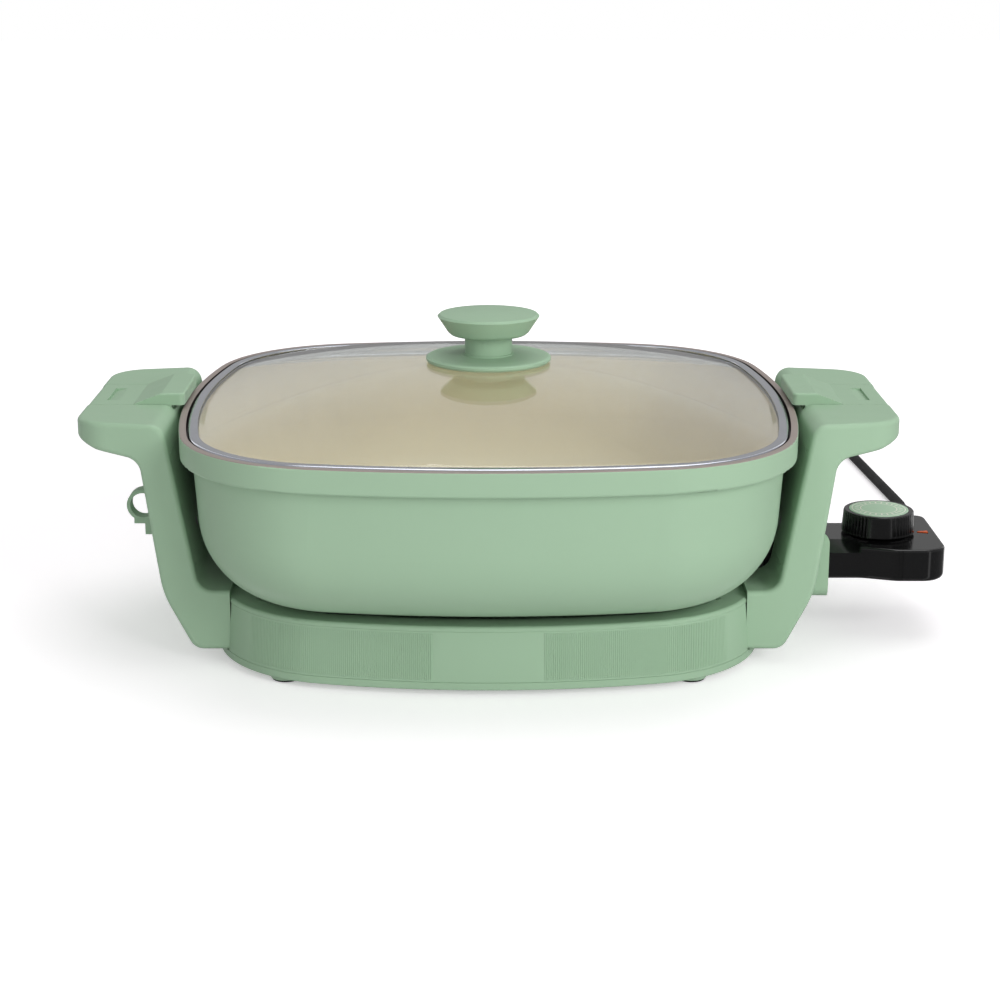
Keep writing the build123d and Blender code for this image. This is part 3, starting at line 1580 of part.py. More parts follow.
with BuildPart() as sensor_tube:
    with Locations(Plane((sensor_tip_x, 0, element_z), z_dir=(1, 0, 0))):
        Cylinder(
            sensor_radius, sensor_root_x - sensor_tip_x, align=(Align.CENTER, Align.CENTER, Align.MIN)
        )
    fillet(sensor_tube.edges().group_by(Axis.X)[0], sensor_radius - 0.5)
sensor_tube.part.label = "sensor_tube"
export_step(sensor_tube.part, "parts/sensor_tube.step")

# Thermostat: steel frame with a tab on the sensor's end, ceramic stack and two spring blades
with BuildPart() as thermostat_frame:
    with Locations((sensor_root_x, 0, probe_floor_z)):
        Box(
            frame_plate_end_x - sensor_root_x,
            2 * frame_plate_half,
            frame_plate_thickness,
            align=(Align.MIN, Align.CENTER, Align.MIN),
        )
        Box(
            frame_plate_thickness,
            2 * frame_plate_half,
            probe_split_z - probe_floor_z,
            align=(Align.MIN, Align.CENTER, Align.MIN),
        )
thermostat_frame.part.label = "thermostat_frame"
export_step(thermostat_frame.part, "parts/thermostat_frame.step")

blade_top_z = shaft_bottom_z - 0.3
stack_bottom_z = probe_floor_z + frame_plate_thickness
with BuildPart() as thermostat_stack:
    with Locations((stack_x, 0, stack_bottom_z)):
        Box(
            stack_length,
            2 * stack_half,
            blade_top_z + 3 - stack_bottom_z,
            align=(Align.MIN, Align.CENTER, Align.MIN),
        )
thermostat_stack.part.label = "thermostat_stack"
export_step(thermostat_stack.part, "parts/thermostat_stack.step")

with BuildPart() as thermostat_blades:
    for index in range(2):
        with Locations(
            (
                stack_x + stack_length,
                0,
                blade_top_z - index * (blade_strip_thickness + blade_strip_gap),
            )
        ):
            Box(
                dial_x + blade_strip_half - stack_x - stack_length,
                2 * blade_strip_half,
                blade_strip_thickness,
                align=(Align.MIN, Align.CENTER, Align.MAX),
            )
thermostat_blades.part.label = "thermostat_blades"
export_step(thermostat_blades.part, "parts/thermostat_blades.step")

with BuildPart() as probe_screws:
    with Locations(*[(x, y, probe_bottom_z) for x, y in probe_screw_points]):
        Cylinder(
            screw_head_radius, screw_head_height, align=(Align.CENTER, Align.CENTER, Align.MIN)
        )
        Cylinder(
            screw_radius,
            probe_ceiling_z - probe_bottom_z - 1,
            align=(Align.CENTER, Align.CENTER, Align.MIN),
        )
probe_screws.part.label = "probe_screws"
export_step(probe_screws.part, "parts/probe_screws.step")

# Rubber sleeve where the cord leaves the probe
relief_start_y = relief_wall_y - probe_shell
relief_tip_y = relief_wall_y + relief_length
cord_start_y = relief_wall_y + relief_length / 2
with BuildPart() as strain_relief:
    with BuildSketch(Plane.XY.offset(relief_z)):
        with BuildLine():
            Polyline(
                (relief_x, relief_start_y - 2.2),
                (relief_x + relief_collar_radius, relief_start_y - 2.2),
                (relief_x + relief_collar_radius, relief_start_y - 2 * seat_gap),
                (relief_x + relief_root_radius, relief_start_y - 2 * seat_gap),
                (relief_x + relief_root_radius, relief_wall_y + 2),
                (relief_x + relief_tip_radius, relief_tip_y),
                (relief_x, relief_tip_y),
                close=True,
            )
        make_face()
    revolve(axis=Axis((relief_x, 0, relief_z), (0, 1, 0)))
    for index in range(relief_ring_count):
        ring_y = relief_wall_y + 5 + index * (relief_length - 7) / relief_ring_count
        with Locations(Plane((relief_x, ring_y, relief_z), z_dir=(0, 1, 0))):
            ring = Cylinder(2 * relief_root_radius, 1.4, mode=Mode.PRIVATE)
            core_radius = relief_root_radius - relief_ring_depth - 0.045 * (ring_y - relief_wall_y)
            core = Cylinder(core_radius, 1.4, mode=Mode.PRIVATE)
            add(ring - core, mode=Mode.SUBTRACT)
    with Locations(Plane((relief_x, cord_start_y - seat_gap, relief_z), z_dir=(0, 1, 0))):
        Cylinder(
            cord_radius + seat_gap / 2,
            relief_length,
            align=(Align.CENTER, Align.CENTER, Align.MIN),
            mode=Mode.SUBTRACT,
        )
strain_relief.part.label = "strain_relief"
export_step(strain_relief.part, "parts/strain_relief.step")

# ---------------------------------------------------------------- temperature dial

dial_top_z = dial_bottom_z + dial_height
cap_floor_z = dial_top_z - dial_cap_thickness + dial_cap_proud
with BuildPart() as dial:
    with Locations((dial_x, 0, dial_bottom_z)):
        Cone(
            dial_foot_radius,
            dial_top_radius,
            dial_height,
            align=(Align.CENTER, Align.CENTER, Align.MIN),
        )
    fillet(dial.edges().group_by(Axis.Z)[-1], 1.0)
    fillet(dial.edges().group_by(Axis.Z)[0], 0.5)
    # Flutes in groups, with smooth walls between them
    with BuildSketch(Plane.XY.offset(dial_bottom_z + 2 * dial_flute_radius)):
        for grip in range(dial_grip_count):
            with Locations((dial_x, 0)):
                with PolarLocations(
                    dial_foot_radius + dial_flute_radius / 4,
                    dial_grip_flutes,
                    start_angle=dial_grip_angle + 360 * grip / dial_grip_count,
                    angular_range=(dial_grip_flutes - 1) * dial_flute_pitch,
                    endpoint=True,
                ):
                    Circle(dial_flute_radius)
    extrude(amount=dial_height, mode=Mode.SUBTRACT)
    with Locations((dial_x, 0, cap_floor_z)):
        Cylinder(
            dial_cap_radius + seat_gap,
            dial_height,
            align=(Align.CENTER, Align.CENTER, Align.MIN),
            mode=Mode.SUBTRACT,
        )
    with Locations((dial_x, 0, dial_bottom_z)):
        Cylinder(
            dial_cap_radius,
            cap_floor_z - dial_bottom_z - 2,
            align=(Align.CENTER, Align.CENTER, Align.MIN),
            mode=Mode.SUBTRACT,
        )
        Cylinder(
            2 * shaft_radius,
            cap_floor_z - dial_bottom_z - 1,
            align=(Align.CENTER, Align.CENTER, Align.MIN),
        )
        Cylinder(
            shaft_radius + seat_gap / 2,
            cap_floor_z - dial_bottom_z - 1,
            align=(Align.CENTER, Align.CENTER, Align.MIN),
            mode=Mode.SUBTRACT,
        )
dial.part.label = "dial"
export_step(dial.part, "parts/dial.step")

with BuildPart() as dial_cap:
    with Locations((dial_x, 0, cap_floor_z)):
        Cylinder(
            dial_cap_radius, dial_cap_thickness, align=(Align.CENTER, Align.CENTER, Align.MIN)
        )
    fillet(dial_cap.edges().group_by(Axis.Z)[-1], dial_cap_proud)
dial_cap.part.label = "dial_cap"
export_step(dial_cap.part, "parts/dial_cap.step")

with BuildPart() as dial_shaft:
    with Locations((dial_x, 0, shaft_bottom_z)):
        Cylinder(
            shaft_radius,
            cap_floor_z - 1 - shaft_bottom_z,
            align=(Align.CENTER, Align.CENTER, Align.MIN),
        )
    chamfer(dial_shaft.edges().group_by(Axis.Z)[0], 0.6)
dial_shaft.part.label = "dial_shaft"
export_step(dial_shaft.part, "parts/dial_shaft.step")

# ---------------------------------------------------------------- cord and plug

cord_lie_z = cord_radius + 0.05
coil_left_x = coil_x - coil_outer_radius
tail_y = coil_y - coil_inner_radius
plug_z = plug_thickness / 2


def bend_radii(points):
    """The widest arc at each inner point that leaves a tenth of each run straight."""
    radii = []
    for before, here, after in zip(points, points[1:], points[2:]):
        inward = Vector(*here) - Vector(*before)
        outward = Vector(*after) - Vector(*here)
        half_turn = math.radians(inward.get_angle(outward)) / 2
        radii.append(0.45 * min(inward.length, outward.length) / math.tan(half_turn))
    return radii


def report_tube(name, points, radii, tube):
    """Prints a tube's bends, and its volume against its section times its length."""
    length = tube.volume / (math.pi * cord_radius**2)
    straight = sum((Vector(*b) - Vector(*a)).length for a, b in zip(points, points[1:]))
    print(name, "radii", [round(r) for r in radii], "length", round(length), "runs", round(straight))


# The lead's way: steps from the relief's end while it sinks, then from the coil's middle
sinking_steps = [(0, 40, relief_z), (4, 74, 0.4 * relief_z), (18, 100, cord_lie_z + 0.3)]
lying_steps = [(45, -95), (31.5, 96), (8, 136), (-54, 152), (-124, 118)]
cord_points = [(relief_x, cord_start_y, relief_z)]
cord_points += [(relief_x + x, cord_start_y + y, z) for x, y, z in sinking_steps]
cord_points += [(relief_x + x, coil_y + y, cord_lie_z) for x, y in lying_steps]
cord_points += [(coil_left_x + 3, coil_y + 60, cord_lie_z), (coil_left_x, coil_y, cord_lie_z)]
cord_bends = bend_radii(cord_points)
with BuildPart() as power_cord:
    with BuildLine() as cord_line:
        FilletPolyline(*cord_points, radius=cord_bends)
    with BuildSketch(Plane(cord_line.line @ 0, z_dir=cord_line.line % 0)):
        Circle(cord_radius)
    sweep(path=cord_line.line)
report_tube("power_cord", cord_points, cord_bends, power_cord.part)
power_cord.part.label = "power_cord"
export_step(power_cord.part, "parts/power_cord.step")

# Coil: the outer shape of the turns, lying on the table
with BuildPart() as cord_coil:
    with BuildSketch(Plane.XY.offset(cord_lie_z - cord_radius)):
        with Locations((coil_x, coil_y)):
            Circle(coil_outer_radius + cord_radius)
            Circle(coil_inner_radius - cord_radius, mode=Mode.SUBTRACT)
    extrude(amount=2 * cord_radius)
    fillet(cord_coil.edges(), cord_radius - 0.5)
cord_coil.part.label = "cord_coil"
export_step(cord_coil.part, "parts/cord_coil.step")

# Tail: leaves the coil inside, climbs over its turns and goes to the plug
tail_points = [
    (coil_x, tail_y, cord_lie_z),
    (coil_x + 0.36 * plug_run, tail_y, 3 * cord_radius + 0.3),
    (coil_x + 0.72 * plug_run, tail_y, plug_z),
    (plug_x, tail_y, plug_z),
]
tail_bends = bend_radii(tail_points)
with BuildPart() as cord_tail:
    with BuildLine() as tail_line:
        FilletPolyline(*tail_points, radius=tail_bends)
    with BuildSketch(Plane(tail_line.line @ 0, z_dir=tail_line.line % 0)):
        Circle(cord_radius)
    sweep(path=tail_line.line)
report_tube("cord_tail", tail_points, tail_bends, cord_tail.part)
cord_tail.part.label = "cord_tail"
export_step(cord_tail.part, "parts/cord_tail.step")

with BuildPart() as plug_body:
    with Locations((plug_x + plug_neck, tail_y, plug_z)):
        Box(
            plug_length,
            plug_width,
            plug_thickness,
            align=(Align.MIN, Align.CENTER, Align.CENTER),
        )
    fillet(plug_body.edges().filter_by(Axis.X), 3.0)
    fillet(plug_body.faces().sort_by(Axis.X)[0].edges(), 2.0)
    with Locations(Plane((plug_x, tail_y, plug_z), z_dir=(1, 0, 0))):
        Cone(
            cord_radius + 1.2,
            cord_radius + 3.0,
            plug_neck + 1,
            align=(Align.CENTER, Align.CENTER, Align.MIN),
        )
plug_body.part.label = "plug_body"
export_step(plug_body.part, "parts/plug_body.step")

with BuildPart() as plug_blades:
    with Locations(*[(plug_x + plug_neck + plug_length, tail_y + side * blade_spacing / 2, plug_z) for side in (-1, 1)]):
        Box(
            blade_length,
            blade_thickness,
            blade_width,
            align=(Align.MIN, Align.CENTER, Align.CENTER),
        )
    fillet(plug_blades.edges().filter_by(Axis.Y).group_by(Axis.X)[-1], 1.5)
plug_blades.part.label = "plug_blades"
export_step(plug_blades.part, "parts/plug_blades.step")
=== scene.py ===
"""Looks of an electric skillet: finishes, fluted fascias, lid, dial marks, cord and lights.

Everything is in metres in the part's own frame: +X to the probe's side, +Y to the back, +Z up.
"""

import json
import logging
import math
from dataclasses import dataclass, field
from enum import Enum

import bpy
import numpy as np
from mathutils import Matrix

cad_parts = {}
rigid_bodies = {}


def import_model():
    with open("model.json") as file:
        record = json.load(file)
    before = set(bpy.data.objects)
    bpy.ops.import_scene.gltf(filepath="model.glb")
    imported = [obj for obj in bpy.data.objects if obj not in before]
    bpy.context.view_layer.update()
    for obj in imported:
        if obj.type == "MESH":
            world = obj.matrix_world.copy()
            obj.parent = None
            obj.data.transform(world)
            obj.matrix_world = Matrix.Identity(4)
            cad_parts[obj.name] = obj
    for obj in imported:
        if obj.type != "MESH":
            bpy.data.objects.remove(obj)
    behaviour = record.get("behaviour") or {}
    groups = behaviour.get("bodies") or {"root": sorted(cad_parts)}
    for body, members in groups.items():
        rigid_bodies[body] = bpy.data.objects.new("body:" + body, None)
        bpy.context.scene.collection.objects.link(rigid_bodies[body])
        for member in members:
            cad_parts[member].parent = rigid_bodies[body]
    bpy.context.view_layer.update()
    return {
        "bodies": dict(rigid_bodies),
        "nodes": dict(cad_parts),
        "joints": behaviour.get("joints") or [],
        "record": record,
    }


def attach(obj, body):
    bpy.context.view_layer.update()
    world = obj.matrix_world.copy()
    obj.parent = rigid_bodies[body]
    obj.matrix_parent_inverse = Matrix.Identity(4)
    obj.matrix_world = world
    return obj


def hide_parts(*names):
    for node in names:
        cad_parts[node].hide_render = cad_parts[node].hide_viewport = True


LOG = logging.getLogger("skillet")

Colour = tuple[float, float, float]
Rgba = tuple[float, float, float, float]
Point = tuple[float, float, float]
Span = tuple[float, float]
Socket = bpy.types.NodeSocket

NOISE_SPAN: Span = (0.3, 0.7)
DIAL_CENTRE: tuple[float, float] = (0.217, 0.0)


def srgb(red: int, green: int, blue: int) -> Colour:
    """Turns a display colour into linear light.

    Args:
        red: 0 to 255.
        green: 0 to 255.
        blue: 0 to 255.

    Returns:
        The three linear values.
    """
    values = np.array([red, green, blue]) / 255.0
    linear = np.where(values <= 0.04045, values / 12.92, ((values + 0.055) / 1.055) ** 2.4)
    return tuple(float(value) for value in linear)


class Side(Enum):
    """A long side of the base, by the sign of its Y."""

    FRONT = -1.0
    REAR = 1.0


# ---------------------------------------------------------------- finishes


class Finish:
    """A procedural material. Subclasses fill in the node tree."""

    name: str

    def build(self) -> bpy.types.Material:
        """Makes the material.

        Returns:
            The new material, with its own node tree.
        """
        material = bpy.data.materials.new(self.name)
        material.use_nodes = True
        tree = material.node_tree
        tree.nodes.clear()
        output = tree.nodes.new("ShaderNodeOutputMaterial")
        tree.links.new(self.shader(tree), output.inputs["Surface"])
        return material

    def shader(self, tree: bpy.types.NodeTree) -> Socket:
        """Adds the finish's nodes.

        Args:
            tree: the material's node tree.

        Returns:
            The shader socket that goes to the output.
        """
        raise NotImplementedError


def add_node(tree: bpy.types.NodeTree, kind: str, **settings: object) -> bpy.types.Node:
    """Adds a node and sets its properties.

    Args:
        tree: where it goes.
        kind: the node's type name.
        settings: its properties by name.

    Returns:
        The node.
    """
    node = tree.nodes.new(kind)
    for key, value in settings.items():
        setattr(node, key, value)
    return node


def feed(tree: bpy.types.NodeTree, target: Socket, value: Socket | float | Rgba) -> None:
    """Links an input to a socket, or sets it to a constant.

    Args:
        tree: where the nodes are.
        target: the input.
        value: a socket, a number or a colour with its alpha.
    """
    if isinstance(value, bpy.types.NodeSocket):
        tree.links.new(value, target)
    else:
        target.default_value = value


def rgba(colour: Colour | Socket) -> Rgba | Socket:
    """A colour with full alpha; a socket stays as it is."""
    return colour if isinstance(colour, bpy.types.NodeSocket) else (*colour, 1.0)


def maths(tree: bpy.types.NodeTree, operation: str, *values: Socket | float) -> Socket:
    """Joins numbers and sockets by a maths node.

    Args:
        tree: where it goes.
        operation: the node's operation.
        values: a number or a socket for each of its inputs.

    Returns:
        The result's socket.
    """
    node = add_node(tree, "ShaderNodeMath", operation=operation)
    for target, value in zip(node.inputs, values):
        feed(tree, target, value)
    return node.outputs["Value"]


def soft_step(tree: bpy.types.NodeTree, value: Socket, span: Span, levels: Span) -> Socket:
    """A soft step between two levels.

    Args:
        tree: where it goes.
        value: what drives it.
        span: the values between which it changes.
        levels: the results before and after.

    Returns:
        The step's socket.
    """
    step = add_node(tree, "ShaderNodeMapRange", interpolation_type="SMOOTHSTEP")
    step.inputs["From Min"].default_value, step.inputs["From Max"].default_value = span
    step.inputs["To Min"].default_value, step.inputs["To Max"].default_value = levels
    tree.links.new(value, step.inputs["Value"])
    return step.outputs["Result"]


def object_place(tree: bpy.types.NodeTree) -> Socket:
    """The piece's own coordinates, in metres."""
    return add_node(tree, "ShaderNodeTexCoord").outputs["Object"]


def axes_of(tree: bpy.types.NodeTree, vector: Socket) -> tuple[Socket, Socket, Socket]:
    """Splits a vector.

    Args:
        tree: where the node goes.
        vector: what is split.

    Returns:
        Its X, Y and Z sockets.
    """
    axes = add_node(tree, "ShaderNodeSeparateXYZ")
    tree.links.new(vector, axes.inputs["Vector"])
    return axes.outputs["X"], axes.outputs["Y"], axes.outputs["Z"]


def levelled(tree: bpy.types.NodeTree, vector: Socket) -> Socket:
    """A vector with its height taken out.

    Args:
        tree: where the node goes.
        vector: what is flattened.

    Returns:
        The level vector's socket.
    """
    flat = add_node(tree, "ShaderNodeVectorMath", operation="MULTIPLY")
    flat.inputs[1].default_value = (1.0, 1.0, 0.0)
    tree.links.new(vector, flat.inputs[0])
    return flat.outputs["Vector"]


def object_noise(tree: bpy.types.NodeTree, scale: float) -> Socket:
    """A noise of three octaves on object coordinates.

    Args:
        tree: where it goes.
        scale: how many waves there are in a metre.

    Returns:
        The noise's value socket.
    """
    noise = add_node(tree, "ShaderNodeTexNoise")
    noise.inputs["Scale"].default_value = scale
    noise.inputs["Detail"].default_value = 3.0
    tree.links.new(object_place(tree), noise.inputs["Vector"])
    return noise.outputs["Fac"]


def clouded(tree: bpy.types.NodeTree, scale: float, colour: Colour, shade: float) -> Socket:
    """A colour that a noise darkens in soft clouds.

    Args:
        tree: where it goes.
        scale: the noise's waves in a metre.
        colour: the colour where the noise is high.
        shade: how much of it is left where the noise is low.

    Returns:
        The colour socket.
    """
    blend = add_node(tree, "ShaderNodeValToRGB")
    low, high = blend.color_ramp.elements
    low.position, high.position = NOISE_SPAN
    low.color = (*(value * shade for value in colour), 1.0)
    high.color = (*colour, 1.0)
    tree.links.new(object_noise(tree, scale), blend.inputs["Fac"])
    return blend.outputs["Color"]


def grain_bump(tree: bpy.types.NodeTree, scale: float, depth: float) -> Socket:
    """A fine noise relief.

    Args:
        tree: where it goes.
        scale: waves in a metre.
        depth: height of the relief in metres.

    Returns:
        The normal socket.
    """
    bump = add_node(tree, "ShaderNodeBump")
    bump.inputs["Strength"].default_value = 1.0
    bump.inputs["Distance"].default_value = depth
    tree.links.new(object_noise(tree, scale), bump.inputs["Height"])
    return bump.outputs["Normal"]


def worn_body(
    tree: bpy.types.NodeTree, colour: Colour | Socket, wear: float, rough: Span, normal: Socket
) -> bpy.types.Node:
    """A surface whose roughness varies with a noise.

    Args:
        tree: where it goes.
        colour: its colour.
        wear: the noise's waves in a metre.
        rough: the roughness where the noise is low and where it is high.
        normal: its relief.

    Returns:
        The surface's node.
    """
    body = add_node(tree, "ShaderNodeBsdfPrincipled")
    feed(tree, body.inputs["Base Color"], rgba(colour))
    spread = add_node(tree, "ShaderNodeMapRange")
    spread.inputs["From Min"].default_value, spread.inputs["From Max"].default_value = NOISE_SPAN
    spread.inputs["To Min"].default_value, spread.inputs["To Max"].default_value = rough
    tree.links.new(object_noise(tree, wear), spread.inputs["Value"])
    tree.links.new(spread.outputs["Result"], body.inputs["Roughness"])
    tree.links.new(normal, body.inputs["Normal"])
    return body


def painted(
    tree: bpy.types.NodeTree, share: Socket, under: Colour | Socket, over: Colour | Socket
) -> Socket:
    """One colour laid over another by a share.

    Args:
        tree: where it goes.
        share: 0 shows the lower colour and 1 the upper one.
        under: the lower colour.
        over: the upper colour.

    Returns:
        The colour socket.
    """
    mix = add_node(tree, "ShaderNodeMix", data_type="RGBA")
    tree.links.new(share, mix.inputs["Factor"])
    feed(tree, mix.inputs["A"], rgba(under))
    feed(tree, mix.inputs["B"], rgba(over))
    return mix.outputs["Result"]


def from_dial_axis(tree: bpy.types.NodeTree) -> tuple[Socket, Socket]:
    """X and Y on object coordinates, counted from the dial's axis.

    Args:
        tree: where the nodes go.

    Returns:
        The two sockets.
    """
    along, across, _ = axes_of(tree, object_place(tree))
    return (
        maths(tree, "SUBTRACT", along, DIAL_CENTRE[0]),
        maths(tree, "SUBTRACT", across, DIAL_CENTRE[1]),
    )


@dataclass(frozen=True)
class Moulded(Finish):
    """Moulded plastic or rubber: a colour that varies a little, with a fine grain."""

    name: str
    colour: Colour
    shade: float = 0.96
    cloud: float = 9.0
    rough: Span = (0.42, 0.50)
    wear: float = 60.0
    grain: float = 2600.0
    grain_depth: float = 0.00001
    specular: float = 0.5

    def shader(self, tree: bpy.types.NodeTree) -> Socket:
        """Adds the finish's nodes and returns its shader socket."""
        colour = clouded(tree, self.cloud, self.colour, self.shade)
        normal = grain_bump(tree, self.grain, self.grain_depth)
        body = worn_body(tree, colour, self.wear, self.rough, normal)
        body.inputs["Specular IOR Level"].default_value = self.specular
        return body.outputs["BSDF"]


@dataclass(frozen=True)
class Metal(Finish):
    """Bare metal, brushed or plain."""

    name: str
    colour: Colour
    rough: Span = (0.22, 0.34)
    grain: float = 900.0
    grain_depth: float = 0.000006
    shade: float = 0.93
    cloud: float = 40.0
    wear: float = 220.0

    def shader(self, tree: bpy.types.NodeTree) -> Socket:
        """Adds the finish's nodes and returns its shader socket."""
        colour = clouded(tree, self.cloud, self.colour, self.shade)
        normal = grain_bump(tree, self.grain, self.grain_depth)
        body = worn_body(tree, colour, self.wear, self.rough, normal)
        body.inputs["Metallic"].default_value = 1.0
        return body.outputs["BSDF"]


@dataclass(frozen=True)
class ClearGlass(Finish):
    """Tempered glass that lets lamps through to what is under it."""

    name: str
    tint: Colour = (0.93, 0.97, 0.95)

    def shader(self, tree: bpy.types.NodeTree) -> Socket:
        """Adds the finish's nodes and returns its shader socket."""
        glass = add_node(tree, "ShaderNodeBsdfPrincipled")
        glass.inputs["Base Color"].default_value = (*self.tint, 1.0)
        glass.inputs["Transmission Weight"].default_value = 1.0
        glass.inputs["Roughness"].default_value = 0.0
        glass.inputs["IOR"].default_value = 1.47
        clear = add_node(tree, "ShaderNodeBsdfTransparent")
        clear.inputs["Color"].default_value = (*self.tint, 1.0)
        rays = add_node(tree, "ShaderNodeLightPath")
        mix = add_node(tree, "ShaderNodeMixShader")
        tree.links.new(rays.outputs["Is Shadow Ray"], mix.inputs["Fac"])
        tree.links.new(glass.outputs["BSDF"], mix.inputs[1])
        tree.links.new(clear.outputs["BSDF"], mix.inputs[2])
        return mix.outputs["Shader"]


@dataclass(frozen=True)
class PanEnamel(Finish):
    """The pan's finishes: enamel outside, bare edge on the rim, painted shade on the inner lip at
    the lid's seat, non-stick inside.
    """

    name: str
    outside: Colour
    inside: Colour
    edge: Colour
    edge_bottom_z: float
    # seat is a dark colour painted on the inner lip, standing in for the shade in the gap under
    # the lid's band.
    seat: Colour
    seat_shade_z: float
    down_weight: float = 0.02
    rough: Span = (0.34, 0.42)
    wear: float = 50.0
    grain: float = 1400.0
    grain_depth: float = 0.000008
    specular: float = 0.45

    def outer(self, tree: bpy.types.NodeTree) -> Socket:
        """One where a face is outside.

        It is where its normal points away from the pan's axis or down: the sum
        x * nx + y * ny - down_weight * nz is positive there.

        Args:
            tree: the material's node tree.

        Returns:
            A socket that is 0 or 1.
        """
        away = add_node(tree, "ShaderNodeVectorMath", operation="ADD")
        away.inputs[1].default_value = (0.0, 0.0, -self.down_weight)
        tree.links.new(levelled(tree, object_place(tree)), away.inputs[0])
        facing = add_node(tree, "ShaderNodeVectorMath", operation="DOT_PRODUCT")
        tree.links.new(away.outputs["Vector"], facing.inputs[0])
        normal = add_node(tree, "ShaderNodeNewGeometry").outputs["Normal"]
        tree.links.new(normal, facing.inputs[1])
        return maths(tree, "GREATER_THAN", facing.outputs["Value"], 0.0)

    def shader(self, tree: bpy.types.NodeTree) -> Socket:
        """Adds the finish's nodes and returns its shader socket."""
        _, _, height = axes_of(tree, object_place(tree))
        # Painted shade: inside faces above the seat's height take the dark seat colour instead of
        # the lining.
        in_seat_shade = maths(tree, "GREATER_THAN", height, self.seat_shade_z)
        on_edge = maths(tree, "GREATER_THAN", height, self.edge_bottom_z)
        lining_and_shade = painted(tree, in_seat_shade, self.inside, self.seat)
        wall = painted(tree, self.outer(tree), lining_and_shade, self.outside)
        colour = painted(tree, on_edge, wall, self.edge)
        normal = grain_bump(tree, self.grain, self.grain_depth)
        body = worn_body(tree, colour, self.wear, self.rough, normal)
        body.inputs["Specular IOR Level"].default_value = self.specular
        return body.outputs["BSDF"]


@dataclass(frozen=True)
class RibbedSkirt(Finish):
    """The dial's glossy skirt, with four groups of fine upright grip ribs."""

    name: str
    colour: Colour
    ribs_round: float = 60.0
    groups: float = 4.0
    group_turn: float = math.radians(-52.0)
    group_edge: Span = (-0.25, 0.0)
    top_edge: Span = (0.3, 0.7)
    rib_depth: float = 0.0006
    rough: Span = (0.16, 0.20)
    wear: float = 60.0

    def wave(self, tree: bpy.types.NodeTree, angle: Socket, count: float) -> Socket:
        """cos(count (angle - group_turn)).

        Args:
            tree: the material's node tree.
            angle: the angle round the dial's axis.
            count: waves in one round.

        Returns:
            A socket from -1 to 1.
        """
        phase = maths(tree, "MULTIPLY_ADD", angle, count, -count * self.group_turn)
        return maths(tree, "COSINE", phase)

    def shader(self, tree: bpy.types.NodeTree) -> Socket:
        """Adds the finish's nodes and returns its shader socket.

        The relief is a cosine of the angle round the dial's axis, kept to the four groups by
        a slower cosine, and to the skirt by how level its surface faces.
        """
        along, across = from_dial_axis(tree)
        angle = maths(tree, "ARCTAN2", across, along)
        kept = soft_step(tree, self.wave(tree, angle, self.groups), self.group_edge, (0.0, 1.0))
        _, _, upward = axes_of(tree, add_node(tree, "ShaderNodeTexCoord").outputs["Normal"])
        skirt = soft_step(tree, upward, self.top_edge, (1.0, 0.0))
        ribs = maths(tree, "MULTIPLY", self.wave(tree, angle, self.ribs_round), kept)
        bump = add_node(tree, "ShaderNodeBump")
        bump.inputs["Distance"].default_value = self.rib_depth / 2
        tree.links.new(maths(tree, "MULTIPLY", ribs, skirt), bump.inputs["Height"])
        body = worn_body(tree, self.colour, self.wear, self.rough, bump.outputs["Normal"])
        return body.outputs["BSDF"]


@dataclass(frozen=True)
class DialDisc(Finish):
    """The dial's disc: pale printed rings and a scale of short marks on the plastic's colour."""

    name: str
    colour: Colour
    print_colour: Colour
    rings: tuple[float, ...] = (0.0100, 0.0146)
    ring_width: float = 0.00048
    marks: Span = (0.0110, 0.0132)
    mark_count: int = 24
    mark_share: float = 0.26
    shade: float = 0.96
    cloud: float = 120.0
    rough: Span = (0.34, 0.42)
    wear: float = 300.0
    grain: float = 3000.0
    grain_depth: float = 0.000004

    def band(self, tree: bpy.types.NodeTree, radius: Socket, span: Span) -> Socket:
        """One where a distance is between two limits.

        Args:
            tree: the material's node tree.
            radius: the distance.
            span: the limits.

        Returns:
            A socket that is 0 or 1.
        """
        inner, outer = (maths(tree, "GREATER_THAN", radius, limit) for limit in span)
        return maths(tree, "SUBTRACT", inner, outer)

    def shader(self, tree: bpy.types.NodeTree) -> Socket:
        """Adds the finish's nodes and returns its shader socket.

        The print is a ring where the distance from the disc's middle is within half a line's
        width of a ring's radius, and a mark where that distance is between the scale's two
        radii and the angle, as a share of one step, is in the mark's share.
        """
        along, across = from_dial_axis(tree)
        squares = maths(tree, "MULTIPLY", across, across)
        radius = maths(tree, "SQRT", maths(tree, "MULTIPLY_ADD", along, along, squares))
        angle = maths(tree, "ARCTAN2", across, along)
        steps = maths(
            tree, "MULTIPLY_ADD", angle, self.mark_count / (2 * math.pi), self.mark_count
        )
        share = maths(tree, "FRACT", steps)
        in_mark = maths(tree, "GREATER_THAN", share, 1.0 - self.mark_share)
        printed = maths(tree, "MULTIPLY", in_mark, self.band(tree, radius, self.marks))
        for ring in self.rings:
            limits = (ring - self.ring_width / 2, ring + self.ring_width / 2)
            printed = maths(tree, "MAXIMUM", printed, self.band(tree, radius, limits))
        plain = clouded(tree, self.cloud, self.colour, self.shade)
        colour = painted(tree, printed, plain, self.print_colour)
        normal = grain_bump(tree, self.grain, self.grain_depth)
        return worn_body(tree, colour, self.wear, self.rough, normal).outputs["BSDF"]


SAGE = srgb(157, 187, 158)

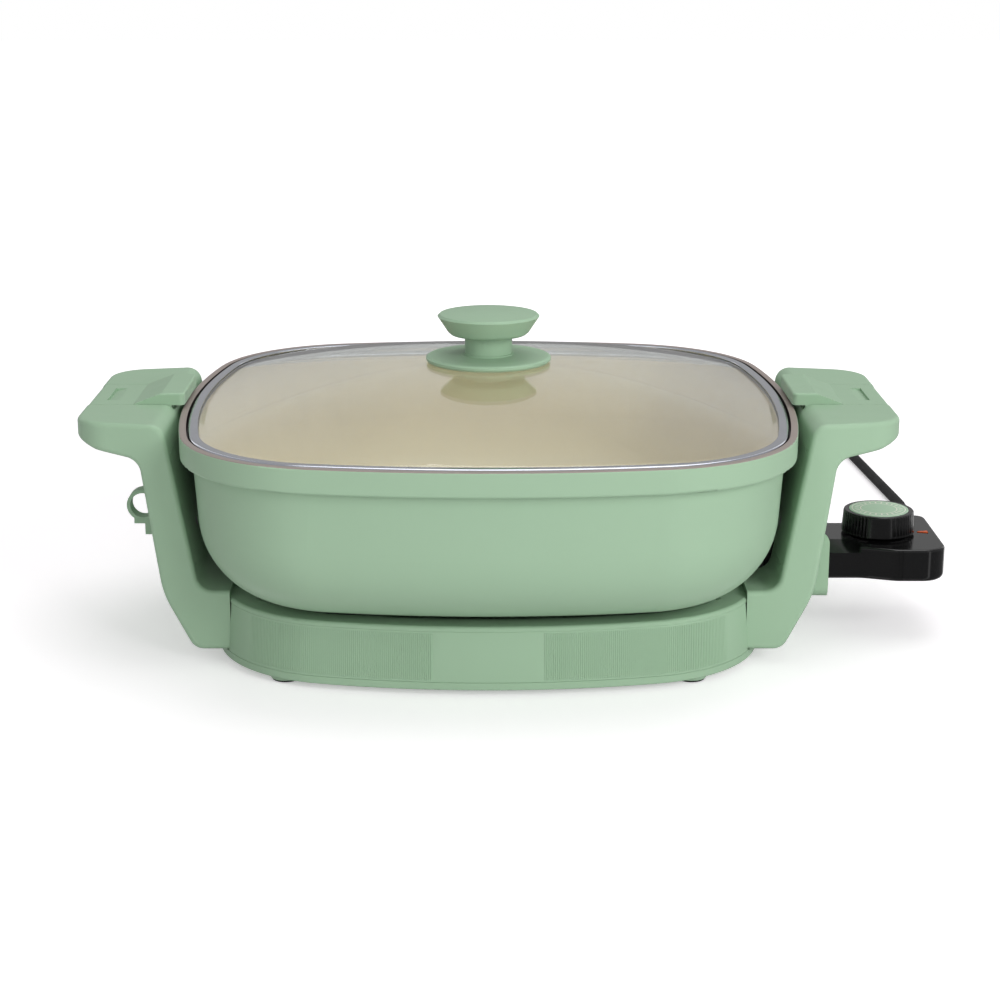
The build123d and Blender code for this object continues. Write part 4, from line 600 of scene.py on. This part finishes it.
FINISHES: dict[str, Finish] = {
    "sage_enamel": PanEnamel(
        "sage_enamel",
        outside=SAGE,
        inside=srgb(190, 174, 146),
        edge=srgb(150, 138, 132),
        edge_bottom_z=0.1270,
        # painted shade on the pan's inner lip under the lid's band, not a colour of the pan
        seat=srgb(52, 48, 45),
        seat_shade_z=0.1220,
    ),
    "rim_steel": Metal("rim_steel", srgb(206, 209, 218), (0.14, 0.18), 2400.0, 0.0000004),
    "clear_glass": ClearGlass("clear_glass"),
    "sage_plastic": Moulded("sage_plastic", SAGE, specular=0.4),
    "black_plastic": Moulded(
        "black_plastic", srgb(12, 12, 13), rough=(0.10, 0.14), grain_depth=0.0000006
    ),
    "dark_plastic": Moulded("dark_plastic", srgb(34, 34, 35)),
    "steel": Metal("steel", srgb(170, 170, 172), (0.32, 0.44)),
    "bright_steel": Metal("bright_steel", srgb(215, 215, 216), (0.12, 0.2)),
    "element_metal": Metal("element_metal", srgb(150, 150, 152), (0.4, 0.5)),
    "ceramic": Moulded("ceramic", srgb(225, 219, 206), rough=(0.6, 0.7)),
    "rubber_black": Moulded("rubber_black", srgb(30, 30, 30), rough=(0.55, 0.7)),
    "silicone_grey": Moulded("silicone_grey", srgb(90, 90, 90), rough=(0.5, 0.6)),
    "brass_contacts": Metal("brass_contacts", srgb(200, 165, 95), (0.2, 0.3)),
    "dial_green": DialDisc("dial_green", srgb(182, 212, 184), srgb(246, 242, 232)),
    "orange_mark": Moulded("orange_mark", srgb(206, 84, 26), rough=(0.3, 0.4)),
    "cord_black": Moulded("cord_black", srgb(20, 20, 21), rough=(0.5, 0.6), specular=0.25),
}

NODE_FINISHES: dict[str, Finish] = {"dial": RibbedSkirt("dial_black", srgb(10, 10, 11))}


# ---------------------------------------------------------------- fluted fascias


def ring_quads(columns: int, rows: int, wrapped: bool) -> list[tuple[int, ...]]:
    """Faces of a grid whose rows close on themselves.

    Args:
        columns: how many columns of points there are.
        rows: how many points each column has.
        wrapped: whether the last column joins the first.

    Returns:
        The faces as tuples of point numbers.
    """
    index = np.arange(columns * rows).reshape(columns, rows)
    here, there = (index, np.roll(index, -1, axis=0)) if wrapped else (index[:-1], index[1:])
    quads = np.stack(
        [here, there, np.roll(there, -1, axis=1), np.roll(here, -1, axis=1)], axis=-1
    )
    return [tuple(quad) for quad in quads.reshape(-1, 4).tolist()]


def add_shell(
    name: str,
    points: np.ndarray,
    faces: list[tuple[int, ...]],
    material: bpy.types.Material,
    sharp_degrees: float,
) -> bpy.types.Object:
    """Makes a smooth-shaded object from points and faces.

    Args:
        name: its name.
        points: places in metres, with X, Y and Z in the last axis.
        faces: tuples of point numbers.
        material: its finish.
        sharp_degrees: an edge that bends more than this stays sharp.

    Returns:
        The new object.
    """
    mesh = bpy.data.meshes.new(name)
    mesh.from_pydata(points.reshape(-1, 3).tolist(), [], faces)
    mesh.shade_smooth()
    mesh.set_sharp_from_angle(angle=math.radians(sharp_degrees))
    mesh.materials.append(material)
    piece = bpy.data.objects.new(name, mesh)
    bpy.context.collection.objects.link(piece)
    LOG.info("built %s with %d faces", name, len(faces))
    return piece


@dataclass(frozen=True)
class BowedSquare:
    """An outline from above: four bowed sides that meet in round corners."""

    half_x: float
    half_y: float
    bow: float
    corner: float

    def corner_centre(self) -> tuple[float, float]:
        """The middle of the corner's arc in the quarter with positive X and Y.

        Both sides' arcs touch the corner's arc from outside it, so its middle is as far from
        each side's middle as the bow's radius less the corner's.

        Returns:
            The middle's X and Y.
        """
        side_x = self.half_x - self.bow
        front_y = self.half_y - self.bow
        apart = math.hypot(side_x, front_y)
        rise = math.sqrt((self.bow - self.corner) ** 2 - (apart / 2) ** 2)
        return side_x / 2 - rise * front_y / apart, front_y / 2 - rise * side_x / apart

    def bends(self) -> tuple[float, float]:
        """The angle that half the front's arc turns through, and half a side's arc.

        Returns:
            The two angles in radians.
        """
        centre_x, centre_y = self.corner_centre()
        front = math.atan2(centre_x, self.bow - self.half_y + centre_y)
        return front, math.atan2(centre_y, self.bow - self.half_x + centre_x)

    def turn_at(self, run: np.ndarray) -> np.ndarray:
        """The outward direction's angle from the front, at a run along the line from the middle.

        It grows by the run over the bow's radius, and past the front's bend by the rest over
        the corner's radius.

        Args:
            run: lengths along the outline, negative to the left.

        Returns:
            The angles in radians.
        """
        bend, _ = self.bends()
        past = np.maximum(np.abs(run) - self.bow * bend, 0.0)
        return np.sign(run) * (np.minimum(np.abs(run) / self.bow, bend) + past / self.corner)

    def ring_turns(self, steps: int) -> np.ndarray:
        """Outward directions all round the outline, at even steps of its length.

        In a quarter the angle grows by the length over the bow's radius, then over the
        corner's, then over the bow's again. The other quarters mirror it.

        Args:
            steps: how many steps a quarter has.

        Returns:
            Angles from the front, from -pi up to just under pi.
        """
        front, side = self.bends()
        angles = np.array([0.0, front, math.pi / 2 - side, math.pi / 2])
        radii = np.array([self.bow, self.corner, self.bow])
        lengths = np.concatenate([[0.0], np.cumsum(radii * np.diff(angles))])
        quarter = np.interp(np.linspace(0.0, lengths[-1], steps + 1), lengths, angles)
        half = np.concatenate([quarter, math.pi - quarter[-2::-1]])
        return np.concatenate([-half[:0:-1], half[:-1]])

    def end_turn(self, inset: np.ndarray, stop: float) -> np.ndarray:
        """The angle at which the inset line meets a plane across the base.

        Args:
            inset: how far the lines stand inside the outline.
            stop: the plane's distance from the middle.

        Returns:
            The angles in radians, one for each inset.
        """
        return np.arccos((stop - self.corner_centre()[1]) / (self.corner - inset))

    def place(self, turn: np.ndarray, inset: np.ndarray) -> np.ndarray:
        """Points of the outline, set in by a distance square to it.

        A point is its arc's middle plus the arc's radius along (sin, -cos) of the angle. The
        arc is the front's or back's bow where the angle is nearer to their axis than the
        front's bend, a side's bow where it is nearer to that side's axis than its bend, and
        else the corner.

        Args:
            turn: the outward direction's angle from the front.
            inset: how far inside the outline.

        Returns:
            An array with X and Y in its last axis.
        """
        centre_x, centre_y = self.corner_centre()
        front, side = self.bends()
        right, back = np.sin(turn), -np.cos(turn)
        on_front = np.abs(right) <= math.sin(front)
        on_side = np.abs(back) <= math.sin(side)
        side_x = np.where(on_side, self.half_x - self.bow, centre_x)
        front_y = np.where(on_front, self.half_y - self.bow, centre_y)
        middle_x = np.where(on_front, 0.0, np.sign(right) * side_x)
        middle_y = np.where(on_side, 0.0, np.sign(back) * front_y)
        radius = np.where(on_front | on_side, self.bow, self.corner) - inset
        return np.stack([middle_x + radius * right, middle_y + radius * back], axis=-1)


FOOT_LINE = BowedSquare(0.148, 0.125, 0.382, 0.075)
RIM_LINE = BowedSquare(0.165, 0.165, 0.513, 0.0835)


@dataclass
class FlutedFascia:
    """An outer wall of the base between the arms: fine upright flutes beside a smooth panel."""

    side: Side
    outline: BowedSquare = FOOT_LINE
    bottom: float = 0.007
    top: float = 0.0338
    foot: float = 0.003
    lean_degrees: float = 3.6
    thickness: float = 0.0026
    stop: float = 0.07505
    panel_half: float = 0.0284
    flute_end: float = 0.1342
    flute_pitch: float = 0.00107
    flute_depth: float = 0.0004
    valley_share: float = 0.22
    samples: int = 10
    panel_steps: int = 12
    plain_ends: Span = (0.001, 0.017)
    end_steps: int = 8
    fading_ribs: int = 5
    edge: float = 0.0003
    fade: float = 0.0009
    sharp_degrees: float = 25.0

    def runs(self) -> np.ndarray:
        """The columns' places along the foot line, dense where there are flutes.

        Returns:
            Increasing lengths from the middle.
        """
        flutes = round((self.flute_end - self.panel_half) / self.flute_pitch)
        fluted = np.linspace(self.panel_half, self.flute_end, flutes * self.samples + 1)
        panel = np.linspace(0.0, self.panel_half, self.panel_steps + 1)[:-1]
        beyond = self.flute_end + np.linspace(*self.plain_ends, self.end_steps + 1)
        half = np.concatenate([panel, fluted, beyond])
        return np.concatenate([-half[:0:-1], half])

    def groove(self, run: np.ndarray) -> np.ndarray:
        """How deep the flutes are at each run: round ribs with narrow valleys between them.

        Across one pitch the share goes from 0 to 1. Its first part is the valley's floor; over
        the rest the depth is one less the height of a flattened arch, the fourth root of one
        less the share's distance from the rib's middle to the fourth power. It fades to
        nothing over the last ribs of the corner.

        Args:
            run: lengths along the foot line.

        Returns:
            Depths from 0 to 1.
        """
        share = np.mod((np.abs(run) - self.panel_half) / self.flute_pitch + 1e-9, 1.0)
        across = (share - self.valley_share) / (1.0 - self.valley_share)
        arch = np.clip(1.0 - (2.0 * across - 1.0) ** 4, 0.0, 1.0) ** 0.25
        rib = np.where(across > 0.0, arch, 0.0)
        inside = (np.abs(run) >= self.panel_half) & (np.abs(run) <= self.flute_end)
        faded = self.fading_ribs * self.flute_pitch
        fading = np.clip((self.flute_end - np.abs(run)) / faded, 0.0, 1.0)
        return np.where(inside, (1.0 - rib) * fading, 0.0)

    def build(self, material: bpy.types.Material) -> bpy.types.Object:
        """Makes the wall as a closed shell: a ring of points round its section in each column.

        Args:
            material: its finish.

        Returns:
            The new object.
        """
        heights = np.array(
            [
                self.bottom,
                self.bottom + self.edge,
                self.bottom + self.fade,
                self.bottom + 2 * self.fade,
                self.top - 2 * self.fade,
                self.top - self.fade,
                self.top - self.edge,
                self.top,
                self.top,
                self.bottom,
            ]
        )
        sink = np.array([self.edge, 0, 0, 0, 0, 0, 0, self.edge, self.thickness, self.thickness])
        fluted = np.array([0.0, 0.0, 0.0, 1.0, 1.0, 0.0, 0.0, 0.0, 0.0, 0.0])
        lean = (heights - self.foot) * math.tan(math.radians(self.lean_degrees))
        run = self.runs()
        turn = np.repeat(self.outline.turn_at(run)[:, None], len(heights), axis=1)
        inset = lean + sink + self.flute_depth * np.outer(self.groove(run), fluted)
        ends = self.outline.end_turn(inset[0], self.stop)
        turn = np.clip(turn, -ends, ends)
        turn[0], turn[-1] = -ends, ends
        flat = self.outline.place(turn, inset)
        upright = np.broadcast_to(heights, turn.shape)
        points = np.stack([flat[..., 0], -self.side.value * flat[..., 1], upright], axis=-1)

        columns, rows = turn.shape
        last = (columns - 1) * rows
        faces = ring_quads(columns, rows, wrapped=False)
        faces += [tuple(range(rows)), tuple(range(last + rows - 1, last - 1, -1))]
        if self.side is Side.REAR:
            faces = [face[::-1] for face in faces]
        name = f"{self.side.name.lower()}_fluted_fascia"
        wall = add_shell(name, points, faces, material, self.sharp_degrees)
        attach(wall, "base")
        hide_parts(f"{self.side.name.lower()}_fascia")
        return wall


# ---------------------------------------------------------------- lid


def arc(inset: float, height: float, radius: float, turn: Span, steps: int) -> np.ndarray:
    """Part of a circle in a section of the lid.

    A point is the middle less the radius times the angle's cosine inwards, plus the radius
    times its sine upwards, so 0 degrees points out and 90 up.

    Args:
        inset: the middle's distance inside the rim's line.
        height: the middle's height.
        radius: the circle's radius.
        turn: the first and the last angle in degrees.
        steps: how many steps there are.

    Returns:
        Rows of inset and height.
    """
    angle = np.radians(np.linspace(*turn, steps + 1))
    return np.stack([inset - radius * np.cos(angle), height + radius * np.sin(angle)], axis=1)


@dataclass
class Lid:
    """The glass dome and the steel band that is folded over its edge."""

    outline: BowedSquare = RIM_LINE
    seat: float = 0.1223
    band_inset: float = 0.0048
    band_width: float = 0.0052
    band_height: float = 0.0054
    band_sheet: float = 0.0009
    band_round: float = 0.0016
    glass_inset: float = 0.0070
    glass_thickness: float = 0.0034
    gap: float = 0.0001
    dome_height: float = 0.0225
    hole_radius: float = 0.0025
    steps: int = 72
    dome_rows: int = 44
    shoulder_steps: int = 10
    fold_steps: int = 8
    foot_break: float = 0.0003
    floor_break: float = 0.0002
    band_sharp_degrees: float = 40.0
    glass_sharp_degrees: float = 30.0

    def glass_top(self) -> float:
        """The height of the glass's flat edge."""
        return self.seat + self.band_height - self.band_sheet - self.gap / 2

    def band_section(self) -> np.ndarray:
        """The band's closed section: outer wall, round shoulder, flat top, folded edge, groove.

        Returns:
            Rows of inset and height.
        """
        top = self.seat + self.band_height
        inner = self.band_inset + self.band_width
        fold = self.band_sheet / 2
        floor = self.glass_top() - self.glass_thickness - self.gap / 2
        groove = [
            (self.glass_inset, top - self.band_sheet),
            (self.glass_inset, floor),
            (inner - self.floor_break, floor),
            (inner, floor - self.floor_break),
            (inner, self.seat + self.foot_break),
            (inner - self.foot_break, self.seat),
            (self.band_inset + self.foot_break, self.seat),
            (self.band_inset, self.seat + self.foot_break),
        ]
        round_inset, round_z = self.band_inset + self.band_round, top - self.band_round
        shoulder = arc(round_inset, round_z, self.band_round, (0, 90), self.shoulder_steps)
        folded = arc(inner - fold, top - fold, fold, (90, 270), self.fold_steps)
        return np.concatenate([shoulder, folded, groove])

    def dome_level(self, half: float) -> BowedSquare:
        """The dome's outline at a distance from the middle, rounder towards the middle.

        Args:
            half: half the outline's width.

        Returns:
            The outline.
        """
        edge_half = self.dome_half()
        edge_corner = self.outline.corner - self.glass_inset
        roundness = 1 - (half / edge_half) * (1 - edge_corner / edge_half)
        bow = self.outline.bow * half / self.outline.half_x
        return BowedSquare(half, half, bow, half * roundness)

    def dome_half(self) -> float:
        """Half the width of the dome inside the band."""
        return self.outline.half_x - self.band_inset - self.band_width - self.gap

    def build_band(self, material: bpy.types.Material) -> bpy.types.Object:
        """Makes the band: its section carried round the rim's line.

        Args:
            material: its finish.

        Returns:
            The new object.
        """
        section = self.band_section()
        turn = self.outline.ring_turns(self.steps)
        flat = self.outline.place(turn[:, None], section[None, :, 0])
        height = np.broadcast_to(section[:, 1], flat.shape[:2])
        points = np.concatenate([flat, height[..., None]], axis=-1)
        faces = ring_quads(len(turn), len(section), wrapped=True)
        band = add_shell("folded_lid_band", points, faces, material, self.band_sharp_degrees)
        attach(band, "lid")
        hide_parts("lid_band")
        return band

    def build_glass(self, material: bpy.types.Material) -> bpy.types.Object:
        """Makes the glass: a flat edge, a dome, a hole for the knob's screw and the same below.

        The dome's height over the edge is its rise times one less the square of the level's
        share of the dome's half width.

        Args:
            material: its finish.

        Returns:
            The new object.
        """
        turn = self.outline.ring_turns(self.steps)
        edge_half = self.dome_half()
        share = np.linspace(1.0, self.hole_radius / edge_half, self.dome_rows)
        levels = np.stack(
            [self.dome_level(edge_half * part).place(turn, 0.0) for part in share], axis=1
        )
        top = self.glass_top() + self.dome_height * (1.0 - share**2)
        rim = self.outline.place(turn, self.glass_inset + self.gap)
        flat = np.concatenate([rim[:, None], levels, levels[:, ::-1], rim[:, None]], axis=1)
        height = np.concatenate([[self.glass_top()], top])
        height = np.concatenate([height, height[::-1] - self.glass_thickness])
        upright = np.broadcast_to(height, flat.shape[:2])
        points = np.concatenate([flat, upright[..., None]], axis=-1)
        faces = ring_quads(len(turn), len(height), wrapped=True)
        glass = add_shell("domed_lid_glass", points, faces, material, self.glass_sharp_degrees)
        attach(glass, "lid")
        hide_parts("lid_glass")
        return glass


# ---------------------------------------------------------------- cord


@dataclass
class Lead:
    """The power cord: a laid stretch, a small coil and a tail to the plug."""

    radius: float = 0.00325
    lie_z: float = 0.0033
    coil_centre: tuple[float, float] = (0.100, 0.300)
    coil_outer: float = 0.0409
    coil_turns: float = 1.25
    points_per_turn: int = 16
    start: Point = (0.232, 0.050, 0.042)
    length: float = 1.03
    route: tuple[Point, ...] = (
        (0.232, 0.090, 0.042),
        (0.236, 0.124, 0.0168),
        (0.250, 0.150, 0.0036),
        (0.277, 0.205, 0.0033),
        (0.2727, 0.266, 0.0033),
        (0.2668, 0.350, 0.0033),
        (0.2635, 0.396, 0.0033),
        (0.240, 0.436, 0.0033),
        (0.178, 0.452, 0.0033),
        (0.108, 0.418, 0.0033),
        (0.0621, 0.360, 0.0033),
    )
    tail: tuple[Point, ...] = (
        (0.12448, 0.2672, 0.01005),
        (0.14896, 0.2672, 0.008),
        (0.168, 0.2672, 0.008),
    )

    def coil_points(self) -> np.ndarray:
        """A spiral: the radius falls by one cord's width in each turn, from the left side.

        Returns:
            The spiral's points, one row each.
        """
        count = int(self.coil_turns * self.points_per_turn)
        turn = np.linspace(0.0, self.coil_turns, count)
        radius = self.coil_outer - 2 * self.radius * turn
        angle = math.pi + 2 * math.pi * turn
        return np.stack(
            [
                self.coil_centre[0] + radius * np.cos(angle),
                self.coil_centre[1] + radius * np.sin(angle),
                np.full(count, self.lie_z),
            ],
            axis=1,
        )

    def build(self, material: bpy.types.Material) -> bpy.types.Object:
        """Makes the cord as one smooth NURBS curve.

        Args:
            material: its sheath's finish.

        Returns:
            The curve object.
        """
        points = np.vstack([[self.start], self.route, self.coil_points(), self.tail])
        curve = bpy.data.curves.new("supply_cord", "CURVE")
        curve.dimensions = "3D"
        curve.bevel_depth = self.radius
        curve.bevel_resolution = 4
        curve.resolution_u = 6
        curve.use_fill_caps = True
        spline = curve.splines.new("NURBS")
        spline.points.add(len(points) - 1)
        spline.points.foreach_set("co", np.column_stack([points, np.ones(len(points))]).ravel())
        spline.order_u = 3
        spline.use_endpoint_u = True
        cord = bpy.data.objects.new("supply_cord", curve)
        bpy.context.collection.objects.link(cord)
        curve.materials.append(material)
        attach(cord, "probe")
        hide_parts("power_cord", "cord_coil", "cord_tail")
        return cord


# ---------------------------------------------------------------- studio


@dataclass(frozen=True)
class Lamp:
    """A square area lamp that faces the skillet."""

    name: str
    place: Point
    size: float
    power: float
    mirrored: bool
    target: Point = (0.0, 0.0, 0.08)

    def build(self) -> bpy.types.Object:
        """Makes the lamp.

        It is tilted from straight down by the angle whose tangent is the level distance to its
        target over the drop, and turned to the target's bearing.

        Returns:
            The lamp.
        """
        data = bpy.data.lights.new(self.name, "AREA")
        data.size = self.size
        data.energy = self.power
        lamp = bpy.data.objects.new(self.name, data)
        ahead, across, up = np.array(self.target) - np.array(self.place)
        tilt = math.atan2(math.hypot(ahead, across), -up)
        lamp.location = self.place
        lamp.rotation_euler = (tilt, 0.0, math.atan2(across, ahead) - math.pi / 2)
        lamp.visible_glossy = self.mirrored
        bpy.context.collection.objects.link(lamp)
        return lamp


@dataclass
class Studio:
    """Camera, lamps, floor and backdrop."""

    camera_place: Point = (0.0, -1.13843, 0.3792)
    pitch_degrees: float = 15.2266
    lens: float = 76.45
    shift_x: float = 0.0115
    lamps: tuple[Lamp, ...] = (
        Lamp("top_lamp", (0.2, 0.4, 1.8), 1.4, 12.0, mirrored=True),
        Lamp("key_lamp", (1.4, -1.6, 1.05), 1.1, 23.0, mirrored=False),
        Lamp("front_lamp", (0.1, -2.2, 0.65), 1.0, 9.5, mirrored=False),
    )
    floor_half: float = 6.0
    floor_z: float = -0.0002
    paper: Colour = (0.87, 0.84, 0.865)
    glow_reach: Span = (0.35, 1.3)
    glow: Span = (0.39, 0.75)
    ambient: float = 0.42
    mirrored: Span = (0.22, 0.42)
    horizon: Span = (-0.10, 0.20)
    strip: float = 0.9
    strip_near: Span = (0.50, 0.57)
    strip_far: Span = (0.63, 0.70)
    strip_top: Span = (0.70, 0.90)

    def build(self) -> None:
        """Makes the camera, the lamps, the floor and the world."""
        self.add_camera()
        for lamp in self.lamps:
            lamp.build()
            LOG.info("hung %s", lamp.name)
        self.add_floor()
        self.set_world()

    def add_camera(self) -> None:
        """Makes the camera and sets it."""
        data = bpy.data.cameras.new("camera")
        data.lens = self.lens
        data.sensor_width = 36.0
        data.shift_x = self.shift_x
        data.clip_end = 20.0
        camera = bpy.data.objects.new("camera", data)
        camera.location = self.camera_place
        camera.rotation_euler = (math.radians(90.0 - self.pitch_degrees), 0.0, 0.0)
        bpy.context.collection.objects.link(camera)
        bpy.context.scene.camera = camera

    def add_floor(self) -> None:
        """Adds a large pale floor that keeps the shadow. Glossy rays don't see it."""
        mesh = bpy.data.meshes.new("floor")
        half, height = self.floor_half, self.floor_z
        corners = [(-half, -half), (half, -half), (half, half), (-half, half)]
        mesh.from_pydata([(x, y, height) for x, y in corners], [], [(0, 1, 2, 3)])
        floor = bpy.data.objects.new("floor", mesh)
        bpy.context.collection.objects.link(floor)
        mesh.materials.append(self.floor_white())
        floor.visible_glossy = False

    def floor_white(self) -> bpy.types.Material:
        """The floor's finish, which shows white to the camera.

        To the camera it glows a little more away from the middle, where the lamps are weaker:
        the glow rises with the distance on object coordinates.

        Returns:
            The material.
        """
        material = bpy.data.materials.new("floor_white")
        material.use_nodes = True
        tree = material.node_tree
        tree.nodes.clear()
        output = add_node(tree, "ShaderNodeOutputMaterial")
        paper = add_node(tree, "ShaderNodeBsdfDiffuse")
        paper.inputs["Color"].default_value = rgba(self.paper)
        distance = add_node(tree, "ShaderNodeVectorMath", operation="LENGTH")
        tree.links.new(object_place(tree), distance.inputs[0])
        level = soft_step(tree, distance.outputs["Value"], self.glow_reach, self.glow)
        seen = add_node(tree, "ShaderNodeLightPath").outputs["Is Camera Ray"]
        glow = add_node(tree, "ShaderNodeEmission")
        tree.links.new(maths(tree, "MULTIPLY", seen, level), glow.inputs["Strength"])
        both = add_node(tree, "ShaderNodeAddShader")
        tree.links.new(paper.outputs["BSDF"], both.inputs[0])
        tree.links.new(glow.outputs["Emission"], both.inputs[1])
        tree.links.new(both.outputs["Shader"], output.inputs["Surface"])
        return material

    def set_world(self) -> None:
        """White to the camera and through glass, a studio in mirrors, soft light on the rest."""
        world = bpy.data.worlds.new("studio")
        bpy.context.scene.world = world
        world.use_nodes = True
        tree = world.node_tree
        tree.nodes.clear()
        output = add_node(tree, "ShaderNodeOutputWorld")
        rays = add_node(tree, "ShaderNodeLightPath")
        shown = self.add_sky(tree, self.ambient)
        for ray, strength in (
            ("Is Glossy Ray", self.mirrored_level(tree)),
            ("Is Transmission Ray", 1.0),
            ("Is Camera Ray", 1.0),
        ):
            mix = add_node(tree, "ShaderNodeMixShader")
            tree.links.new(rays.outputs[ray], mix.inputs["Fac"])
            tree.links.new(shown, mix.inputs[1])
            tree.links.new(self.add_sky(tree, strength), mix.inputs[2])
            shown = mix.outputs["Shader"]
        tree.links.new(shown, output.inputs["Surface"])

    def mirrored_level(self, tree: bpy.types.NodeTree) -> Socket:
        """The studio that shiny surfaces mirror: dark below, light above, four soft strips.

        The level rises with the direction's height. A strip is where the direction's sideways
        share of its level length is near the sine of 37 degrees, so there is one to each side
        in front and behind. The strips end softly at the top.

        Args:
            tree: the world's node tree.

        Returns:
            The brightness socket.
        """
        direction = add_node(tree, "ShaderNodeTexCoord").outputs["Generated"]
        _, _, height = axes_of(tree, direction)
        around = add_node(tree, "ShaderNodeVectorMath", operation="NORMALIZE")
        tree.links.new(levelled(tree, direction), around.inputs[0])
        sideways, _, _ = axes_of(tree, around.outputs["Vector"])
        aside = maths(tree, "ABSOLUTE", sideways)
        strip = soft_step(tree, aside, self.strip_near, (0.0, self.strip))
        for value, span in ((aside, self.strip_far), (height, self.strip_top)):
            strip = maths(tree, "MULTIPLY", strip, soft_step(tree, value, span, (1.0, 0.0)))
        return maths(tree, "ADD", soft_step(tree, height, self.horizon, self.mirrored), strip)

    def add_sky(self, tree: bpy.types.NodeTree, strength: float | Socket) -> Socket:
        """Adds a plain white sky.

        Args:
            tree: the world's node tree.
            strength: its brightness.

        Returns:
            Its shader socket.
        """
        sky = add_node(tree, "ShaderNodeBackground")
        sky.inputs["Color"].default_value = (1.0, 1.0, 1.0, 1.0)
        feed(tree, sky.inputs["Strength"], strength)
        return sky.outputs["Background"]


# ---------------------------------------------------------------- dressing the frame


@dataclass
class FrameDresser:
    """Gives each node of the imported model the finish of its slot."""

    frame: dict
    finishes: dict[str, bpy.types.Material] = field(default_factory=dict)

    def dress(self) -> None:
        """Builds every finish and puts it on the nodes of its slot."""
        for slot, finish in FINISHES.items():
            self.finishes[slot] = finish.build()
        own = {node: finish.build() for node, finish in NODE_FINISHES.items()}
        slots = {part["node"]: part["material_slot"] for part in self.frame["record"]["subparts"]}
        for node, piece in self.frame["nodes"].items():
            material = own.get(node, self.finishes[slots[node]])
            for place in piece.material_slots:
                place.material = material
            LOG.info("dressed %s in %s", node, material.name)


def main() -> None:
    """Dresses the frame, adds the new pieces and sets up the studio."""
    logging.basicConfig(level=logging.INFO, format="%(name)s: %(message)s")
    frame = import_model()
    dresser = FrameDresser(frame)
    dresser.dress()
    for side in Side:
        FlutedFascia(side).build(dresser.finishes["sage_plastic"])
    lid = Lid()
    lid.build_band(dresser.finishes["rim_steel"])
    lid.build_glass(dresser.finishes["clear_glass"])
    Lead().build(dresser.finishes["cord_black"])
    LOG.info("built the cord")
    Studio().build()
    scene = bpy.context.scene
    scene.view_settings.view_transform = "Standard"


if __name__ == "__main__":
    main()
